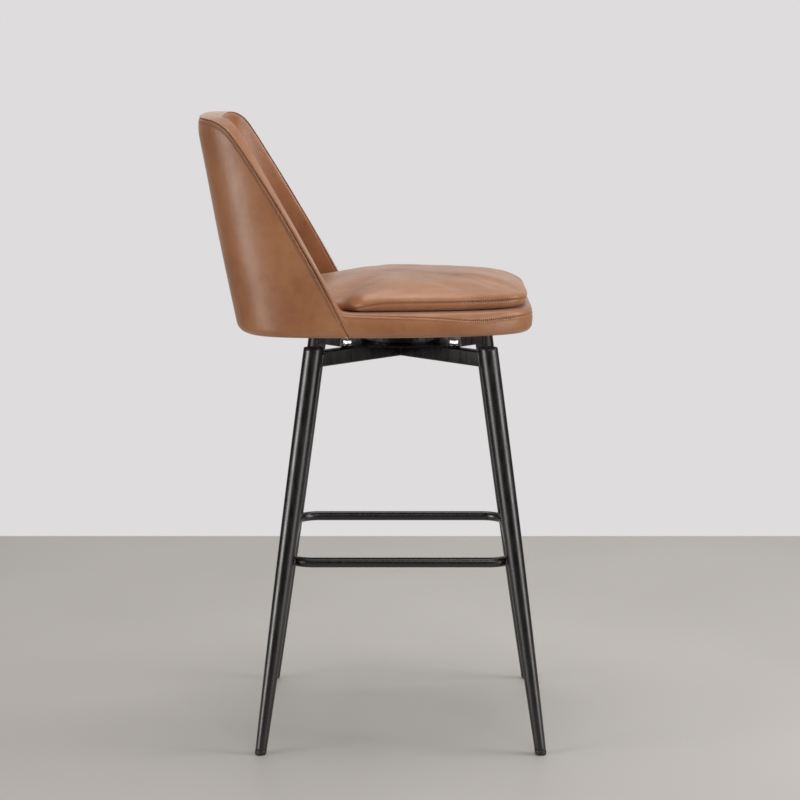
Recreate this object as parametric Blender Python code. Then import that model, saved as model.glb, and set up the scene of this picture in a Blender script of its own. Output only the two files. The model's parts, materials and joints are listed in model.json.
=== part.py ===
"""Swivel bar stool: upholstered bucket seat on a welded steel base with a footrest.

Metres, +Z up. The stool faces +X and the sitter's left side is +Y. The pieces are drawn
around the swivel's axis, and one empty then moves them so that the origin is on the floor
under the middle of the whole stool.
"""

import math

import bmesh
import bpy
from mathutils import Vector

# ---------------------------------------------------------------- driving dimensions
JOINT_GAP = 0.0003          # between pieces that touch, are glued or are welded
RUNNING_GAP = 0.0003        # between the balls and what they run in
EDGE_CLEARANCE = 0.004      # between the loose cushion and the padding around it

# Legs: round tube that narrows towards the foot, one at each corner, leaning outwards.
LEG_TOP_Z = 0.644
LEG_TOP_REACH = 0.1383      # of the leg's axis from the swivel's axis, along X and along Y
LEG_FOOT_REACH = 0.2238
LEG_TOP_RADIUS = 0.0154
LEG_FOOT_RADIUS = 0.0089
LEG_TAPER_POWER = 2.2       # 1 is a plain cone, more keeps the upper tube straight
LEG_WALL = 0.0015
LEG_SIDES = 16
LEG_RINGS = 6

CAP_THICKNESS = 0.002
CAP_PLUG_DEPTH = 0.008
GLIDE_HEIGHT = 0.009
GLIDE_CHAMFER = 0.003
GLIDE_STEM = 0.016

# Footrest: one round tube bent into a square with soft corners, welded inside the legs.
RING_Z = 0.3035
RING_TUBE_RADIUS = 0.008
RING_TUBE_WALL = 0.0015
RING_BEND_RADIUS = 0.039
RING_BEND_STEPS = 5
RING_SIDES = 12
RING_VENT_RADIUS = 0.002

# Cross bars under the swivel: one whole bar and two halves, on the diagonals.
BAR_DROP = 0.007            # of the bars' top below the legs' top
BAR_HEIGHT = 0.0245
BAR_WALL = 0.0018
BAR_SLACK = 0.0014          # round the nuts inside the bars

# Swivel: two square plates with a ring of balls between an inner and an outer race.
SWIVEL_HEIGHT = 0.030       # from the bars to the seat
PLATE_THICKNESS = 0.003
LOWER_PLATE_EDGE = 0.013    # from the bolts' centres to the plate's edge
UPPER_PLATE_EDGE = 0.015
PLATE_CORNER = 0.012
LOWER_PLATE_HOLE = 0.030
UPPER_PLATE_HOLE = 0.022
BALL_RADIUS = 0.00475
BALL_COUNT = 12
BALL_CIRCLE = 0.068
RACE_WALL = 0.0055
RACE_SHARE = 0.74           # distance from the balls' circle to either race, in ball radii
RACE_END_GAP = 0.0041       # between a race and the plate that it turns against
CAGE_SIDE_GAP = 0.001
CAGE_RIM = 0.00225          # of the cage above and below the balls
RACE_SEGMENTS = 48

# Screws: flanged hexagon bolts. The wide ones hold the lower plate, the small ones the seat.
PLATE_BOLT_REACH = 0.0855   # of the bolts from the swivel's axis, along X and along Y
PLATE_BOLT_RADIUS = 0.004
PLATE_BOLT_HEX = 0.013
PLATE_BOLT_HEAD = 0.008
PLATE_BOLT_FLANGE = 0.009
SEAT_BOLT_TO_RACE = 0.0037  # from the bolts' flanges to the outer race
SEAT_BOLT_RADIUS = 0.003
SEAT_BOLT_HEX = 0.010
SEAT_BOLT_HEAD = 0.0055
SEAT_BOLT_FLANGE = 0.007
NUT_HEIGHT = 0.0065
HOLE_CLEARANCE = 0.0005     # of a hole's radius over its screw's
TEE_NUT_FLANGE = 0.0095
TEE_NUT_PLATE = 0.0015
TEE_NUT_BARREL = 0.0045

# Seat: a padded tub with a loose-looking cushion, and a back that wraps round as wings.
TUB_HEIGHT = 0.040          # of the padded tub, on which the cushion lies
SEAT_FRONT = 0.2125         # of the tub, ahead of the swivel's axis
SEAT_WIDEST_X = -0.07
SEAT_HALF_WIDTH = 0.211
FRONT_TAPER = 0.2           # share of the width that the tub loses towards its front
FRONT_SQUARENESS = 6.5      # exponent of the front outline, 2 is an ellipse
REAR_SQUARENESS = 4.0
REAR_REACH = 0.2625
BACK_HEIGHT = 0.342         # of the top edge over the seat's bottom
BACK_RAKE = 0.193           # run per rise of the outer back
SIDE_TAPER = 0.11           # half width lost per rise
TOP_ROLL_HEIGHT = 0.035     # where the outer back starts to roll over, below the top
TOP_ROLL_RADIUS = 0.09
LOWER_EDGE_RADIUS = 0.012
UPPER_EDGE_RADIUS = 0.008
TUB_LIP = 0.0257            # width of the padded edge seen from below

WING_FOOT_X = -0.081        # where the wing's seam meets the seat's bottom
WING_SLOPE = 0.473          # run per rise of that seam at its foot
WING_BOW = 0.361            # how fast that run grows with height
WING_CORNER_POWER = 20.0    # how tightly the seam turns into the top edge
WING_THICKNESS = 0.026
BACK_THICKNESS = 0.042
TOP_THICKNESS = 0.036
BAND_DROP = 0.0105          # of the outer seam below the rim, along the wings
BAND_DROP_TOP = 0.007       # and along the top
COVER_WALL = 0.008
FRAME_WALL = 0.0054

BOARD_THICKNESS = 0.012
DUST_COVER_THICKNESS = 0.0012
CUSHION_HEIGHT = 0.047
CUSHION_SEAM_HEIGHT = 0.018
CUSHION_INSET = 0.0095

HALF_TURN = math.pi
QUARTER_TURN = math.pi / 2
COLUMN_STEP = math.radians(6)   # between the sections along the U of the back
SEAM_START = 0.016          # height of the wing's first section over the seat's bottom

# Sizes that follow from the ones above.
BAR_TOP_Z = LEG_TOP_Z - BAR_DROP
BAR_WIDTH = 2 / math.sqrt(3) * PLATE_BOLT_HEX + 2 * BAR_WALL + BAR_SLACK
SEAT_BOTTOM_Z = BAR_TOP_Z + SWIVEL_HEIGHT
DECK_Z = SEAT_BOTTOM_Z + TUB_HEIGHT
CUSHION_TOP_Z = DECK_Z + CUSHION_HEIGHT
BACK_TOP_Z = SEAT_BOTTOM_Z + BACK_HEIGHT
LOWER_PLATE_Z = BAR_TOP_Z + JOINT_GAP
LOWER_PLATE_TOP = LOWER_PLATE_Z + PLATE_THICKNESS
UPPER_PLATE_TOP = SEAT_BOTTOM_Z - JOINT_GAP
UPPER_PLATE_Z = UPPER_PLATE_TOP - PLATE_THICKNESS
BALL_Z = (LOWER_PLATE_TOP + UPPER_PLATE_Z) / 2
RACE_HEIGHT = UPPER_PLATE_Z - LOWER_PLATE_TOP - JOINT_GAP - RACE_END_GAP
RACE_TO_BALL = RACE_SHARE * BALL_RADIUS
CAGE_WALL = 2 * (RACE_TO_BALL - CAGE_SIDE_GAP)
CAGE_HEIGHT = 2 * (BALL_RADIUS + CAGE_RIM)
RACE_OUTSIDE = BALL_CIRCLE + RACE_TO_BALL + RACE_WALL
SEAT_BOLT_REACH = (RACE_OUTSIDE + SEAT_BOLT_TO_RACE + SEAT_BOLT_FLANGE) / math.sqrt(2)
LOWER_PLATE_HALF = PLATE_BOLT_REACH + LOWER_PLATE_EDGE
UPPER_PLATE_HALF = SEAT_BOLT_REACH + UPPER_PLATE_EDGE
BOARD_Z = SEAT_BOTTOM_Z + DUST_COVER_THICKNESS + JOINT_GAP
BOARD_TOP = BOARD_Z + BOARD_THICKNESS
FRAME_START = COVER_WALL + JOINT_GAP
PAD_START = FRAME_START + FRAME_WALL + JOINT_GAP

CORNERS = {"front_left": (1, 1), "front_right": (1, -1), "rear_left": (-1, 1), "rear_right": (-1, -1)}


# ---------------------------------------------------------------- building blocks
def clear_scene():
    """Remove every object, so that the script can run in any file."""
    for obj in list(bpy.data.objects):
        bpy.data.objects.remove(obj, do_unlink=True)


def make_material(name, color, roughness, metallic):
    """Return a Principled material of one colour."""
    material = bpy.data.materials.new(name)
    material.use_nodes = True
    shader = material.node_tree.nodes["Principled BSDF"]
    shader.inputs["Base Color"].default_value = (*color, 1.0)
    shader.inputs["Roughness"].default_value = roughness
    shader.inputs["Metallic"].default_value = metallic
    return material


def add_object(name, mesh_builder, material, parent):
    """Turn a bmesh into a named object, with its faces outwards and round faces smooth."""
    bmesh.ops.recalc_face_normals(mesh_builder, faces=mesh_builder.faces)
    mesh = bpy.data.meshes.new(name)
    mesh_builder.to_mesh(mesh)
    mesh_builder.free()
    mesh.materials.append(material)
    mesh.shade_smooth()
    mesh.set_sharp_from_angle(angle=math.radians(35))
    obj = bpy.data.objects.new(name, mesh)
    bpy.context.scene.collection.objects.link(obj)
    obj.parent = parent
    return obj


def add_empty(name, location, parent=None):
    """Add an empty that carries the pieces of one moving body."""
    empty = bpy.data.objects.new(name, None)
    empty.location = location
    empty.parent = parent
    bpy.context.scene.collection.objects.link(empty)
    return empty


def rank(vert):
    """Order the corners of a column: by height, then by distance from the swivel's axis."""
    return round(vert.co.z, 6), vert.co.xy.length


def upright_halves(quad):
    """Split a face from the lower corner of one column to the upper corner of the next."""
    a, b, c, d = quad
    return [(a, b, c), (a, c, d)] if rank(b) >= rank(a) else [(a, b, d), (b, c, d)]


def skin(rings, cycle=False, into=None, split=False):
    """Join closed rings of points into one surface, capped at its ends or run in a cycle.

    With split, faces are halved alike on every layer, so that layers stay parallel.
    """
    builder = into or bmesh.new()
    verts = [[builder.verts.new(point) for point in ring] for ring in rings]
    count = len(verts)
    for index in range(count if cycle else count - 1):
        here, there = verts[index], verts[(index + 1) % count]
        for side in range(len(here)):
            after = (side + 1) % len(here)
            quad = (here[side], here[after], there[after], there[side])
            for corners in upright_halves(quad) if split else [quad]:
                builder.faces.new(corners)
    if not cycle:
        builder.faces.new(verts[0])
        builder.faces.new(verts[-1])
    return builder


def round_ring(radius, z, centre=(0.0, 0.0), sides=12):
    """A level circle of points."""
    turn = 2 * math.pi / sides
    return [
        Vector((centre[0] + radius * math.cos(turn * k), centre[1] + radius * math.sin(turn * k), z))
        for k in range(sides)
    ]


def hex_ring(across_flats, z, centre=(0.0, 0.0)):
    """A level hexagon of 12 points, which matches a circle of 12."""
    points = []
    for k in range(12):
        radius = across_flats / 2 if k % 2 else across_flats / math.sqrt(3)
        angle = math.radians(30 * k)
        points.append(Vector((centre[0] + radius * math.cos(angle), centre[1] + radius * math.sin(angle), z)))
    return points


def square_ring(half, corner, z, sides=32):
    """A level square with round corners, its points at equal angles from the middle."""
    points = []
    for k in range(sides):
        angle = 2 * math.pi * k / sides
        c, s = abs(math.cos(angle)), abs(math.sin(angle))
        reach = half / max(c, s)
        straight = half - corner
        if min(c, s) * reach > straight:
            middle = straight * (c + s)
            reach = middle + math.sqrt(middle**2 - 2 * straight**2 + corner**2)
        points.append(Vector((reach * math.cos(angle), reach * math.sin(angle), z)))
    return points


def cut(obj, cutter):
    """Subtract a cutter, which the finished model leaves out."""
    cutter.hide_render = True
    cutter.display_type = "WIRE"
    boolean = obj.modifiers.new(cutter.name, "BOOLEAN")
    boolean.operation = "DIFFERENCE"
    boolean.solver = "EXACT"
    boolean.object = cutter


def post_cutter(name, spots, radius, low, high, parent):
    """One cutter of several upright posts."""
    builder = bmesh.new()
    for spot in spots:
        skin([round_ring(radius, low, spot), round_ring(radius, high, spot)], into=builder)
    return add_object(name, builder, MATERIALS["steel"], parent)


def square_spots(reach):
    """The four corners of a square around the swivel's axis, by name."""
    return {name: (sx * reach, sy * reach) for name, (sx, sy) in CORNERS.items()}


# ---------------------------------------------------------------- legs
def leg_reach(z):
    """How far a leg's axis is from the swivel's axis at a height, along X and along Y."""
    return LEG_FOOT_REACH + (LEG_TOP_REACH - LEG_FOOT_REACH) * z / LEG_TOP_Z


def leg_lean():
    """A leg's angle from upright, in the diagonal plane that it leans in."""
    return math.atan(math.sqrt(2) * (LEG_FOOT_REACH - LEG_TOP_REACH) / LEG_TOP_Z)


def leg_radius(z):
    """The tube's outer radius at a height."""
    low = max(0.0, 1 - z / LEG_TOP_Z)
    return LEG_TOP_RADIUS - (LEG_TOP_RADIUS - LEG_FOOT_RADIUS) * low**LEG_TAPER_POWER


def leg_ring(corner, z, radius):
    """A level cut through a leaning round piece, which is longer along the lean."""
    stretch = 1 / math.cos(leg_lean())
    along = Vector((corner[0], corner[1], 0)).normalized()
    across = Vector((-along.y, along.x, 0))
    centre = Vector((corner[0] * leg_reach(z), corner[1] * leg_reach(z), z))
    turn = 2 * math.pi / LEG_SIDES
    return [
        centre + along * (radius * stretch * math.cos(turn * k)) + across * (radius * math.sin(turn * k))
        for k in range(LEG_SIDES)
    ]


def build_leg(name, corner, parent):
    """A tapered tube, its top cap and the glide in its foot."""
    low, high = GLIDE_HEIGHT + JOINT_GAP, LEG_TOP_Z - CAP_THICKNESS - JOINT_GAP
    heights = [low + (high - low) * (k / (LEG_RINGS - 1)) for k in range(LEG_RINGS)]
    outer = [leg_ring(corner, z, leg_radius(z)) for z in heights]
    inner = [leg_ring(corner, z, leg_radius(z) - LEG_WALL) for z in reversed(heights)]
    add_object(f"leg_{name}", skin(outer + inner, cycle=True), MATERIALS["black_steel"], parent)

    plug_end = high - CAP_PLUG_DEPTH
    plug = leg_radius(plug_end) - LEG_WALL - JOINT_GAP
    edge = LEG_TOP_RADIUS
    cap = [
        leg_ring(corner, plug_end, plug - 0.001),
        leg_ring(corner, plug_end + 0.001, plug),
        leg_ring(corner, high + JOINT_GAP, plug),
        leg_ring(corner, high + JOINT_GAP, edge),
        leg_ring(corner, LEG_TOP_Z - 0.0007, edge),
        leg_ring(corner, LEG_TOP_Z, edge - 0.0007),
    ]
    add_object(f"leg_cap_{name}", skin(cap), MATERIALS["black_plastic"], parent)

    foot = leg_radius(low)
    stem = foot - LEG_WALL - JOINT_GAP
    glide = [
        leg_ring(corner, 0.0, foot - GLIDE_CHAMFER),
        leg_ring(corner, GLIDE_CHAMFER, foot),
        leg_ring(corner, GLIDE_HEIGHT, foot),
        leg_ring(corner, GLIDE_HEIGHT, stem),
        leg_ring(corner, GLIDE_HEIGHT + GLIDE_STEM, stem),
    ]
    add_object(f"foot_glide_{name}", skin(glide), MATERIALS["black_plastic"], parent)


# ---------------------------------------------------------------- footrest
def ring_path(bend, half):
    """Centre line of the footrest: a square of half-width half with round corners."""
    points = []
    for sx, sy in ((1, 1), (-1, 1), (-1, -1), (1, -1)):
        start = math.atan2(sy, sx) - math.pi / 4
        for k in range(RING_BEND_STEPS + 1):
            angle = start + QUARTER_TURN * k / RING_BEND_STEPS
            x = sx * (half - bend) + bend * math.cos(angle)
            y = sy * (half - bend) + bend * math.sin(angle)
            points.append((Vector((x, y, RING_Z)), Vector((math.cos(angle), math.sin(angle), 0))))
    return points


def tube_rings(path, radius):
    """Sections of a level tube, from points of its path and their outward directions."""
    rings = []
    turn = 2 * math.pi / RING_SIDES
    for centre, outward in path:
        rings.append([
            centre + outward * (radius * math.cos(turn * k)) + Vector((0, 0, radius * math.sin(turn * k)))
            for k in range(RING_SIDES)
        ])
    return rings


def footrest_half():
    """Half-width of the footrest's centre line, so that its corners just meet the legs."""
    lean = leg_lean()
    leg_face = math.sqrt(2) * leg_reach(RING_Z) - leg_radius(RING_Z) / math.cos(lean)
    corner = leg_face - RING_TUBE_RADIUS / math.cos(lean) - JOINT_GAP / math.cos(lean)
    return (corner + (math.sqrt(2) - 1) * RING_BEND_RADIUS) / math.sqrt(2)


def build_footrest(parent):
    """A hollow bent tube with the small vent hole that coating needs, under its rear rail."""
    half = footrest_half()
    path = ring_path(RING_BEND_RADIUS, half)
    ring = add_object(
        "footrest_ring", skin(tube_rings(path, RING_TUBE_RADIUS), cycle=True), MATERIALS["black_steel"], parent
    )
    bore = skin(tube_rings(path, RING_TUBE_RADIUS - RING_TUBE_WALL), cycle=True)
    cut(ring, add_object("footrest_bore_cutter", bore, MATERIALS["steel"], parent))
    vent = post_cutter(
        "footrest_vent_cutter", [(-half, 0.0)], RING_VENT_RADIUS, RING_Z - 2 * RING_TUBE_RADIUS, RING_Z, parent
    )
    cut(ring, vent)


# ---------------------------------------------------------------- cross bars
def bar_rings(start, end, across, half_width, low, high):
    """Two rectangles of a bar between two level points."""
    rings = []
    for point in (start, end):
        rings.append([
            Vector((point.x, point.y, 0)) + across * (side * half_width) + Vector((0, 0, z))
            for side, z in ((-1, low), (1, low), (1, high), (-1, high))
        ])
    return rings


def build_bar(name, start, end, corners, parent):
    """A rectangular tube with ends shaped to the legs and holes for the plate's bolts."""
    along = (end - start).normalized()
    across = Vector((-along.y, along.x, 0))
    low = BAR_TOP_Z - BAR_HEIGHT
    outer = bar_rings(start, end, across, BAR_WIDTH / 2, low, BAR_TOP_Z)
    inner = bar_rings(start, end, across, BAR_WIDTH / 2 - BAR_WALL, low + BAR_WALL, BAR_TOP_Z - BAR_WALL)
    bar = add_object(name, skin(outer + inner[::-1], cycle=True), MATERIALS["black_steel"], parent)
    for corner in corners:
        notch = skin([
            leg_ring(CORNERS[corner], z, leg_radius(z) + JOINT_GAP)
            for z in (low - BAR_HEIGHT, BAR_TOP_Z + BAR_HEIGHT)
        ])
        cut(bar, add_object(f"{name}_{corner}_notch", notch, MATERIALS["steel"], parent))
    spots = [square_spots(PLATE_BOLT_REACH)[corner] for corner in corners]
    radius = PLATE_BOLT_RADIUS + HOLE_CLEARANCE
    drill = post_cutter(f"{name}_drill", spots, radius, BAR_TOP_Z - BAR_HEIGHT / 2, BAR_TOP_Z + BAR_WALL, parent)
    cut(bar, drill)
    return bar


def build_cross_bars(parent):
    """One bar from leg to leg and two half bars against its sides."""
    reach = leg_reach(BAR_TOP_Z - BAR_HEIGHT / 2)
    legs = {name: Vector((sx * reach, sy * reach, 0)) for name, (sx, sy) in CORNERS.items()}
    build_bar("cross_bar", legs["rear_right"], legs["front_left"], ("rear_right", "front_left"), parent)
    for name in ("rear_left", "front_right"):
        inner = legs[name].normalized() * (BAR_WIDTH / 2 + JOINT_GAP)
        build_bar(f"half_bar_{name}", inner, legs[name], (name,), parent)


# ---------------------------------------------------------------- fasteners
def bolt_rings(spot, seat_z, up, radius, length, hexagon, head, flange):
    """A flanged hexagon bolt whose flange rests at seat_z and whose head points up or down."""
    steps = [
        (round_ring, radius, -length),
        (round_ring, radius, 0.0),
        (round_ring, flange, 0.0),
        (round_ring, flange, 0.0012),
        (hex_ring, hexagon, 0.0012 + (flange - hexagon / 2) * 0.6),
        (hex_ring, hexagon, head - 0.0006),
        (hex_ring, hexagon * 0.9, head),
    ]
    return [shape(size, seat_z + up * z, spot) for shape, size, z in steps]


def build_plate_bolts(parent):
    """Bolts through the lower plate into nuts welded inside the cross bars."""
    for name, spot in square_spots(PLATE_BOLT_REACH).items():
        nut_top = BAR_TOP_Z - BAR_WALL - JOINT_GAP
        length = LOWER_PLATE_TOP + JOINT_GAP - (nut_top - NUT_HEIGHT)
        rings = bolt_rings(
            spot, LOWER_PLATE_TOP + JOINT_GAP, 1, PLATE_BOLT_RADIUS, length,
            PLATE_BOLT_HEX, PLATE_BOLT_HEAD, PLATE_BOLT_FLANGE,
        )
        add_object(f"plate_bolt_{name}", skin(rings), MATERIALS["zinc"], parent)
        bore = PLATE_BOLT_RADIUS + JOINT_GAP
        nut = [
            hex_ring(PLATE_BOLT_HEX, nut_top - NUT_HEIGHT, spot), hex_ring(PLATE_BOLT_HEX, nut_top, spot),
            round_ring(bore, nut_top, spot), round_ring(bore, nut_top - NUT_HEIGHT, spot),
        ]
        add_object(f"weld_nut_{name}", skin(nut, cycle=True), MATERIALS["steel"], parent)


def build_seat_bolts(parent):
    """Bolts up through the upper plate into tee nuts in the seat board."""
    for name, spot in square_spots(SEAT_BOLT_REACH).items():
        head_z = UPPER_PLATE_Z - JOINT_GAP
        plate_top = BOARD_TOP + JOINT_GAP + TEE_NUT_PLATE
        rings = bolt_rings(
            spot, head_z, -1, SEAT_BOLT_RADIUS, plate_top - head_z,
            SEAT_BOLT_HEX, SEAT_BOLT_HEAD, SEAT_BOLT_FLANGE,
        )
        add_object(f"seat_bolt_{name}", skin(rings), MATERIALS["zinc"], parent)
        bore = SEAT_BOLT_RADIUS + JOINT_GAP
        low, under = BOARD_Z + 0.002, BOARD_TOP + JOINT_GAP
        nut = [
            round_ring(TEE_NUT_BARREL, low, spot), round_ring(TEE_NUT_BARREL, under, spot),
            round_ring(TEE_NUT_FLANGE, under, spot), round_ring(TEE_NUT_FLANGE, plate_top, spot),
            round_ring(bore, plate_top, spot), round_ring(bore, low, spot),
        ]
        add_object(f"tee_nut_{name}", skin(nut, cycle=True), MATERIALS["zinc"], parent)


# ---------------------------------------------------------------- swivel
def build_plate(name, half, hole, low, bolt_reach, bolt_radius, parent):
    """A square plate with a round middle hole and four bolt holes."""
    high = low + PLATE_THICKNESS
    rings = [
        square_ring(half, PLATE_CORNER, low), square_ring(half, PLATE_CORNER, high),
        round_ring(hole, high, sides=32), round_ring(hole, low, sides=32),
    ]
    plate = add_object(name, skin(rings, cycle=True), MATERIALS["black_steel"], parent)
    spots = square_spots(bolt_reach).values()
    drill = post_cutter(
        f"{name}_drill", spots, bolt_radius + HOLE_CLEARANCE, low - PLATE_THICKNESS, high + PLATE_THICKNESS, parent
    )
    cut(plate, drill)


def race_profile(face, back, low, high):
    """Radius and height of a race's section: flat sides, and a groove that clears the balls."""
    side = 1 if face > BALL_CIRCLE else -1
    groove = BALL_RADIUS + RUNNING_GAP
    opening = math.acos(RACE_TO_BALL / groove)
    profile = [(back, low), (back, high), (face, high)]
    for k in range(5):
        angle = opening * (1 - k / 2)
        profile.append((BALL_CIRCLE + side * groove * math.cos(angle), BALL_Z + groove * math.sin(angle)))
    return profile + [(face, low)]


def turned(profile, segments):
    """A ring turned from a closed section of radius and height."""
    return skin([round_ring(radius, z, sides=segments) for radius, z in profile], cycle=True)


def build_swivel(base, cage, seat):
    """Plates and races on the base and on the seat, and the ball cage between them."""
    build_plate(
        "swivel_lower_plate", LOWER_PLATE_HALF, LOWER_PLATE_HOLE, LOWER_PLATE_Z,
        PLATE_BOLT_REACH, PLATE_BOLT_RADIUS, base,
    )
    build_plate(
        "swivel_upper_plate", UPPER_PLATE_HALF, UPPER_PLATE_HOLE, UPPER_PLATE_Z,
        SEAT_BOLT_REACH, SEAT_BOLT_RADIUS, seat,
    )
    inner_face, outer_face = BALL_CIRCLE - RACE_TO_BALL, BALL_CIRCLE + RACE_TO_BALL
    low, high = LOWER_PLATE_TOP + JOINT_GAP, UPPER_PLATE_Z - JOINT_GAP
    inner = race_profile(inner_face, inner_face - RACE_WALL, low, low + RACE_HEIGHT)
    outer = race_profile(outer_face, outer_face + RACE_WALL, high - RACE_HEIGHT, high)
    add_object("swivel_inner_race", turned(inner, RACE_SEGMENTS), MATERIALS["black_steel"], base)
    add_object("swivel_outer_race", turned(outer, RACE_SEGMENTS), MATERIALS["black_steel"], seat)

    low, high = BALL_Z - CAGE_HEIGHT / 2, BALL_Z + CAGE_HEIGHT / 2
    near, far = BALL_CIRCLE - CAGE_WALL / 2, BALL_CIRCLE + CAGE_WALL / 2
    section = [(near, low), (far, low), (far, high), (near, high)]
    ring = add_object("ball_cage", turned(section, RACE_SEGMENTS), MATERIALS["nylon"], cage)
    pockets = bmesh.new()
    for k in range(BALL_COUNT):
        angle = 2 * math.pi * (k + 0.5) / BALL_COUNT
        outward = Vector((math.cos(angle), math.sin(angle), 0))
        build_ball(k, outward, cage)
        add_pocket(pockets, outward)
    cut(ring, add_object("ball_cage_pockets", pockets, MATERIALS["steel"], cage))


def build_ball(index, outward, parent):
    """One steel ball, its poles up and down."""
    builder = bmesh.new()
    bmesh.ops.create_uvsphere(builder, u_segments=8, v_segments=6, radius=BALL_RADIUS)
    centre = outward * BALL_CIRCLE + Vector((0, 0, BALL_Z))
    bmesh.ops.translate(builder, vec=centre, verts=builder.verts)
    add_object(f"ball_{index + 1:02d}", builder, MATERIALS["steel"], parent)


def add_pocket(builder, outward):
    """A level post that cuts a ball's pocket through the cage."""
    radius = BALL_RADIUS + RUNNING_GAP
    across = Vector((-outward.y, outward.x, 0))
    rings = []
    for reach in (BALL_CIRCLE - CAGE_WALL, BALL_CIRCLE + CAGE_WALL):
        centre = outward * reach + Vector((0, 0, BALL_Z))
        turn = 2 * math.pi / 12
        rings.append([
            centre + across * (radius * math.cos(turn * k)) + Vector((0, 0, radius * math.sin(turn * k)))
            for k in range(12)
        ])
    skin(rings, into=builder)


# ---------------------------------------------------------------- the seat's outline
def rear_x(z):
    """The outer back's rearmost line, which rolls forward under the top edge."""
    roll = max(0.0, z - (BACK_TOP_Z - TOP_ROLL_HEIGHT))
    return -(REAR_REACH + BACK_RAKE * (z - SEAT_BOTTOM_Z)) + roll**2 / (2 * TOP_ROLL_RADIUS)


def outline(turn, z):
    """A point on the seat's outer face. turn is 0 at the rear, a quarter at the sides."""
    c, s = math.cos(turn), math.sin(turn)
    power = REAR_SQUARENESS if c > 0 else FRONT_SQUARENESS
    size = (abs(c) ** power + abs(s) ** power) ** (-1 / power)
    c, s = c * size, s * size
    half = SEAT_HALF_WIDTH - SIDE_TAPER * (z - SEAT_BOTTOM_Z)
    if c > 0:
        return Vector((SEAT_WIDEST_X - (SEAT_WIDEST_X - rear_x(z)) * c, half * s, z))
    reach = (SEAT_FRONT - SEAT_WIDEST_X) * -c
    return Vector((SEAT_WIDEST_X + reach, half * s * (1 - FRONT_TAPER * c * c), z))


def inset(turn, z, depth):
    """A point of the outline moved level into the seat."""
    step = 0.001
    along = outline(turn + step, z) - outline(turn - step, z)
    inward = Vector((along.y, -along.x, 0)).normalized()
    return outline(turn, z) + inward * depth


def seam_x(z):
    """The wing's outer seam in side view: further back as it rises."""
    rise = z - SEAT_BOTTOM_Z
    return WING_FOOT_X - WING_SLOPE * rise - WING_BOW * rise**2


def line_height(turn):
    """Height where the column of the outline at this turn crosses the seam's line."""
    low, high = SEAT_BOTTOM_Z, 3 * BACK_TOP_Z - 2 * SEAT_BOTTOM_Z
    for _ in range(40):
        middle = (low + high) / 2
        if outline(turn, min(middle, BACK_TOP_Z)).x < seam_x(middle):
            low = middle
        else:
            high = middle
    return low


def soft_limit(height, top):
    """The height, turned smoothly into the top edge."""
    rise, limit = height - SEAT_BOTTOM_Z, top - SEAT_BOTTOM_Z
    if rise <= 0:
        return SEAT_BOTTOM_Z
    share = (rise ** -WING_CORNER_POWER + limit ** -WING_CORNER_POWER) ** (-1 / WING_CORNER_POWER)
    return SEAT_BOTTOM_Z + share


def seam_height(turn):
    """Height of the outer seam at a turn."""
    return soft_limit(line_height(turn), BACK_TOP_Z - BAND_DROP_TOP)


def rim_height(turn):
    """Height of the padded rim at a turn."""
    return soft_limit(line_height(turn) + BAND_DROP, BACK_TOP_Z)


def turn_at_seam(height):
    """The turn at which the outer seam has come down to a height."""
    low, high = 0.0, QUARTER_TURN
    for _ in range(40):
        middle = (low + high) / 2
        if seam_height(middle) > height:
            low = middle
        else:
            high = middle
    return low


def wall_depth(turn, z):
    """Thickness of the back and wings, padding included."""
    share = (z - SEAT_BOTTOM_Z) / (BACK_TOP_Z - SEAT_BOTTOM_Z)
    middle = BACK_THICKNESS + (TOP_THICKNESS - BACK_THICKNESS) * share
    return WING_THICKNESS + (middle - WING_THICKNESS) * math.cos(turn) ** 2


def lower_edge(z):
    """How far the rounded lower edge draws in at a height."""
    rise = min(LOWER_EDGE_RADIUS, z - SEAT_BOTTOM_Z)
    return LOWER_EDGE_RADIUS - math.sqrt(LOWER_EDGE_RADIUS**2 - (LOWER_EDGE_RADIUS - rise) ** 2)


# ---------------------------------------------------------------- back and wings
def column_turns(end):
    """Turns of the sections from wing to wing, on one grid for every layer, and the two ends."""
    count = math.ceil((end - COLUMN_STEP / 4) / COLUMN_STEP)
    return [-end] + [COLUMN_STEP * k for k in range(1 - count, count)] + [end]


def build_wall(name, section, lowest_seam, material, parent):
    """Sweep a section of depth and height round the back, from wing to wing."""
    turns = column_turns(turn_at_seam(lowest_seam))
    rings = [[inset(turn, z, depth) for depth, z in section(turn)] for turn in turns]
    add_object(name, skin(rings, split=True), MATERIALS[material], parent)


def face_heights(turn):
    """Heights up a face of the wall above the tub, the same ones on every layer."""
    top, shelf = seam_height(turn) - JOINT_GAP, SEAT_BOTTOM_Z + LOWER_EDGE_RADIUS
    roll = BACK_TOP_Z - TOP_ROLL_HEIGHT
    start = DECK_Z + JOINT_GAP
    if top < start + EDGE_CLEARANCE / 2:
        start = shelf + 0.3 * (top - shelf)
    knee = roll if top > roll + UPPER_EDGE_RADIUS else start + 0.7 * (top - start)
    return [start, knee, (knee + top) / 2, top]


def cover_section(turn):
    """Outer cover: a wall that rolls under at the seat's bottom."""
    low, hidden = SEAT_BOTTOM_Z, PAD_START - JOINT_GAP
    edge = [low + LOWER_EDGE_RADIUS * k / 3 for k in range(4)]
    heights = face_heights(turn)
    face = [(lower_edge(z), z) for z in edge + heights]
    inner = [(COVER_WALL, z) for z in reversed(heights)]
    return [(hidden, low)] + face + inner + [(COVER_WALL, edge[-1]), (hidden, edge[-1])]


def frame_section(turn):
    """Bent board between the cover and the padding."""
    heights = [SEAT_BOTTOM_Z + LOWER_EDGE_RADIUS + JOINT_GAP] + face_heights(turn)
    outer = [(FRAME_START, z) for z in heights]
    return outer + [(FRAME_START + FRAME_WALL, z) for z in reversed(heights)]


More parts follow.
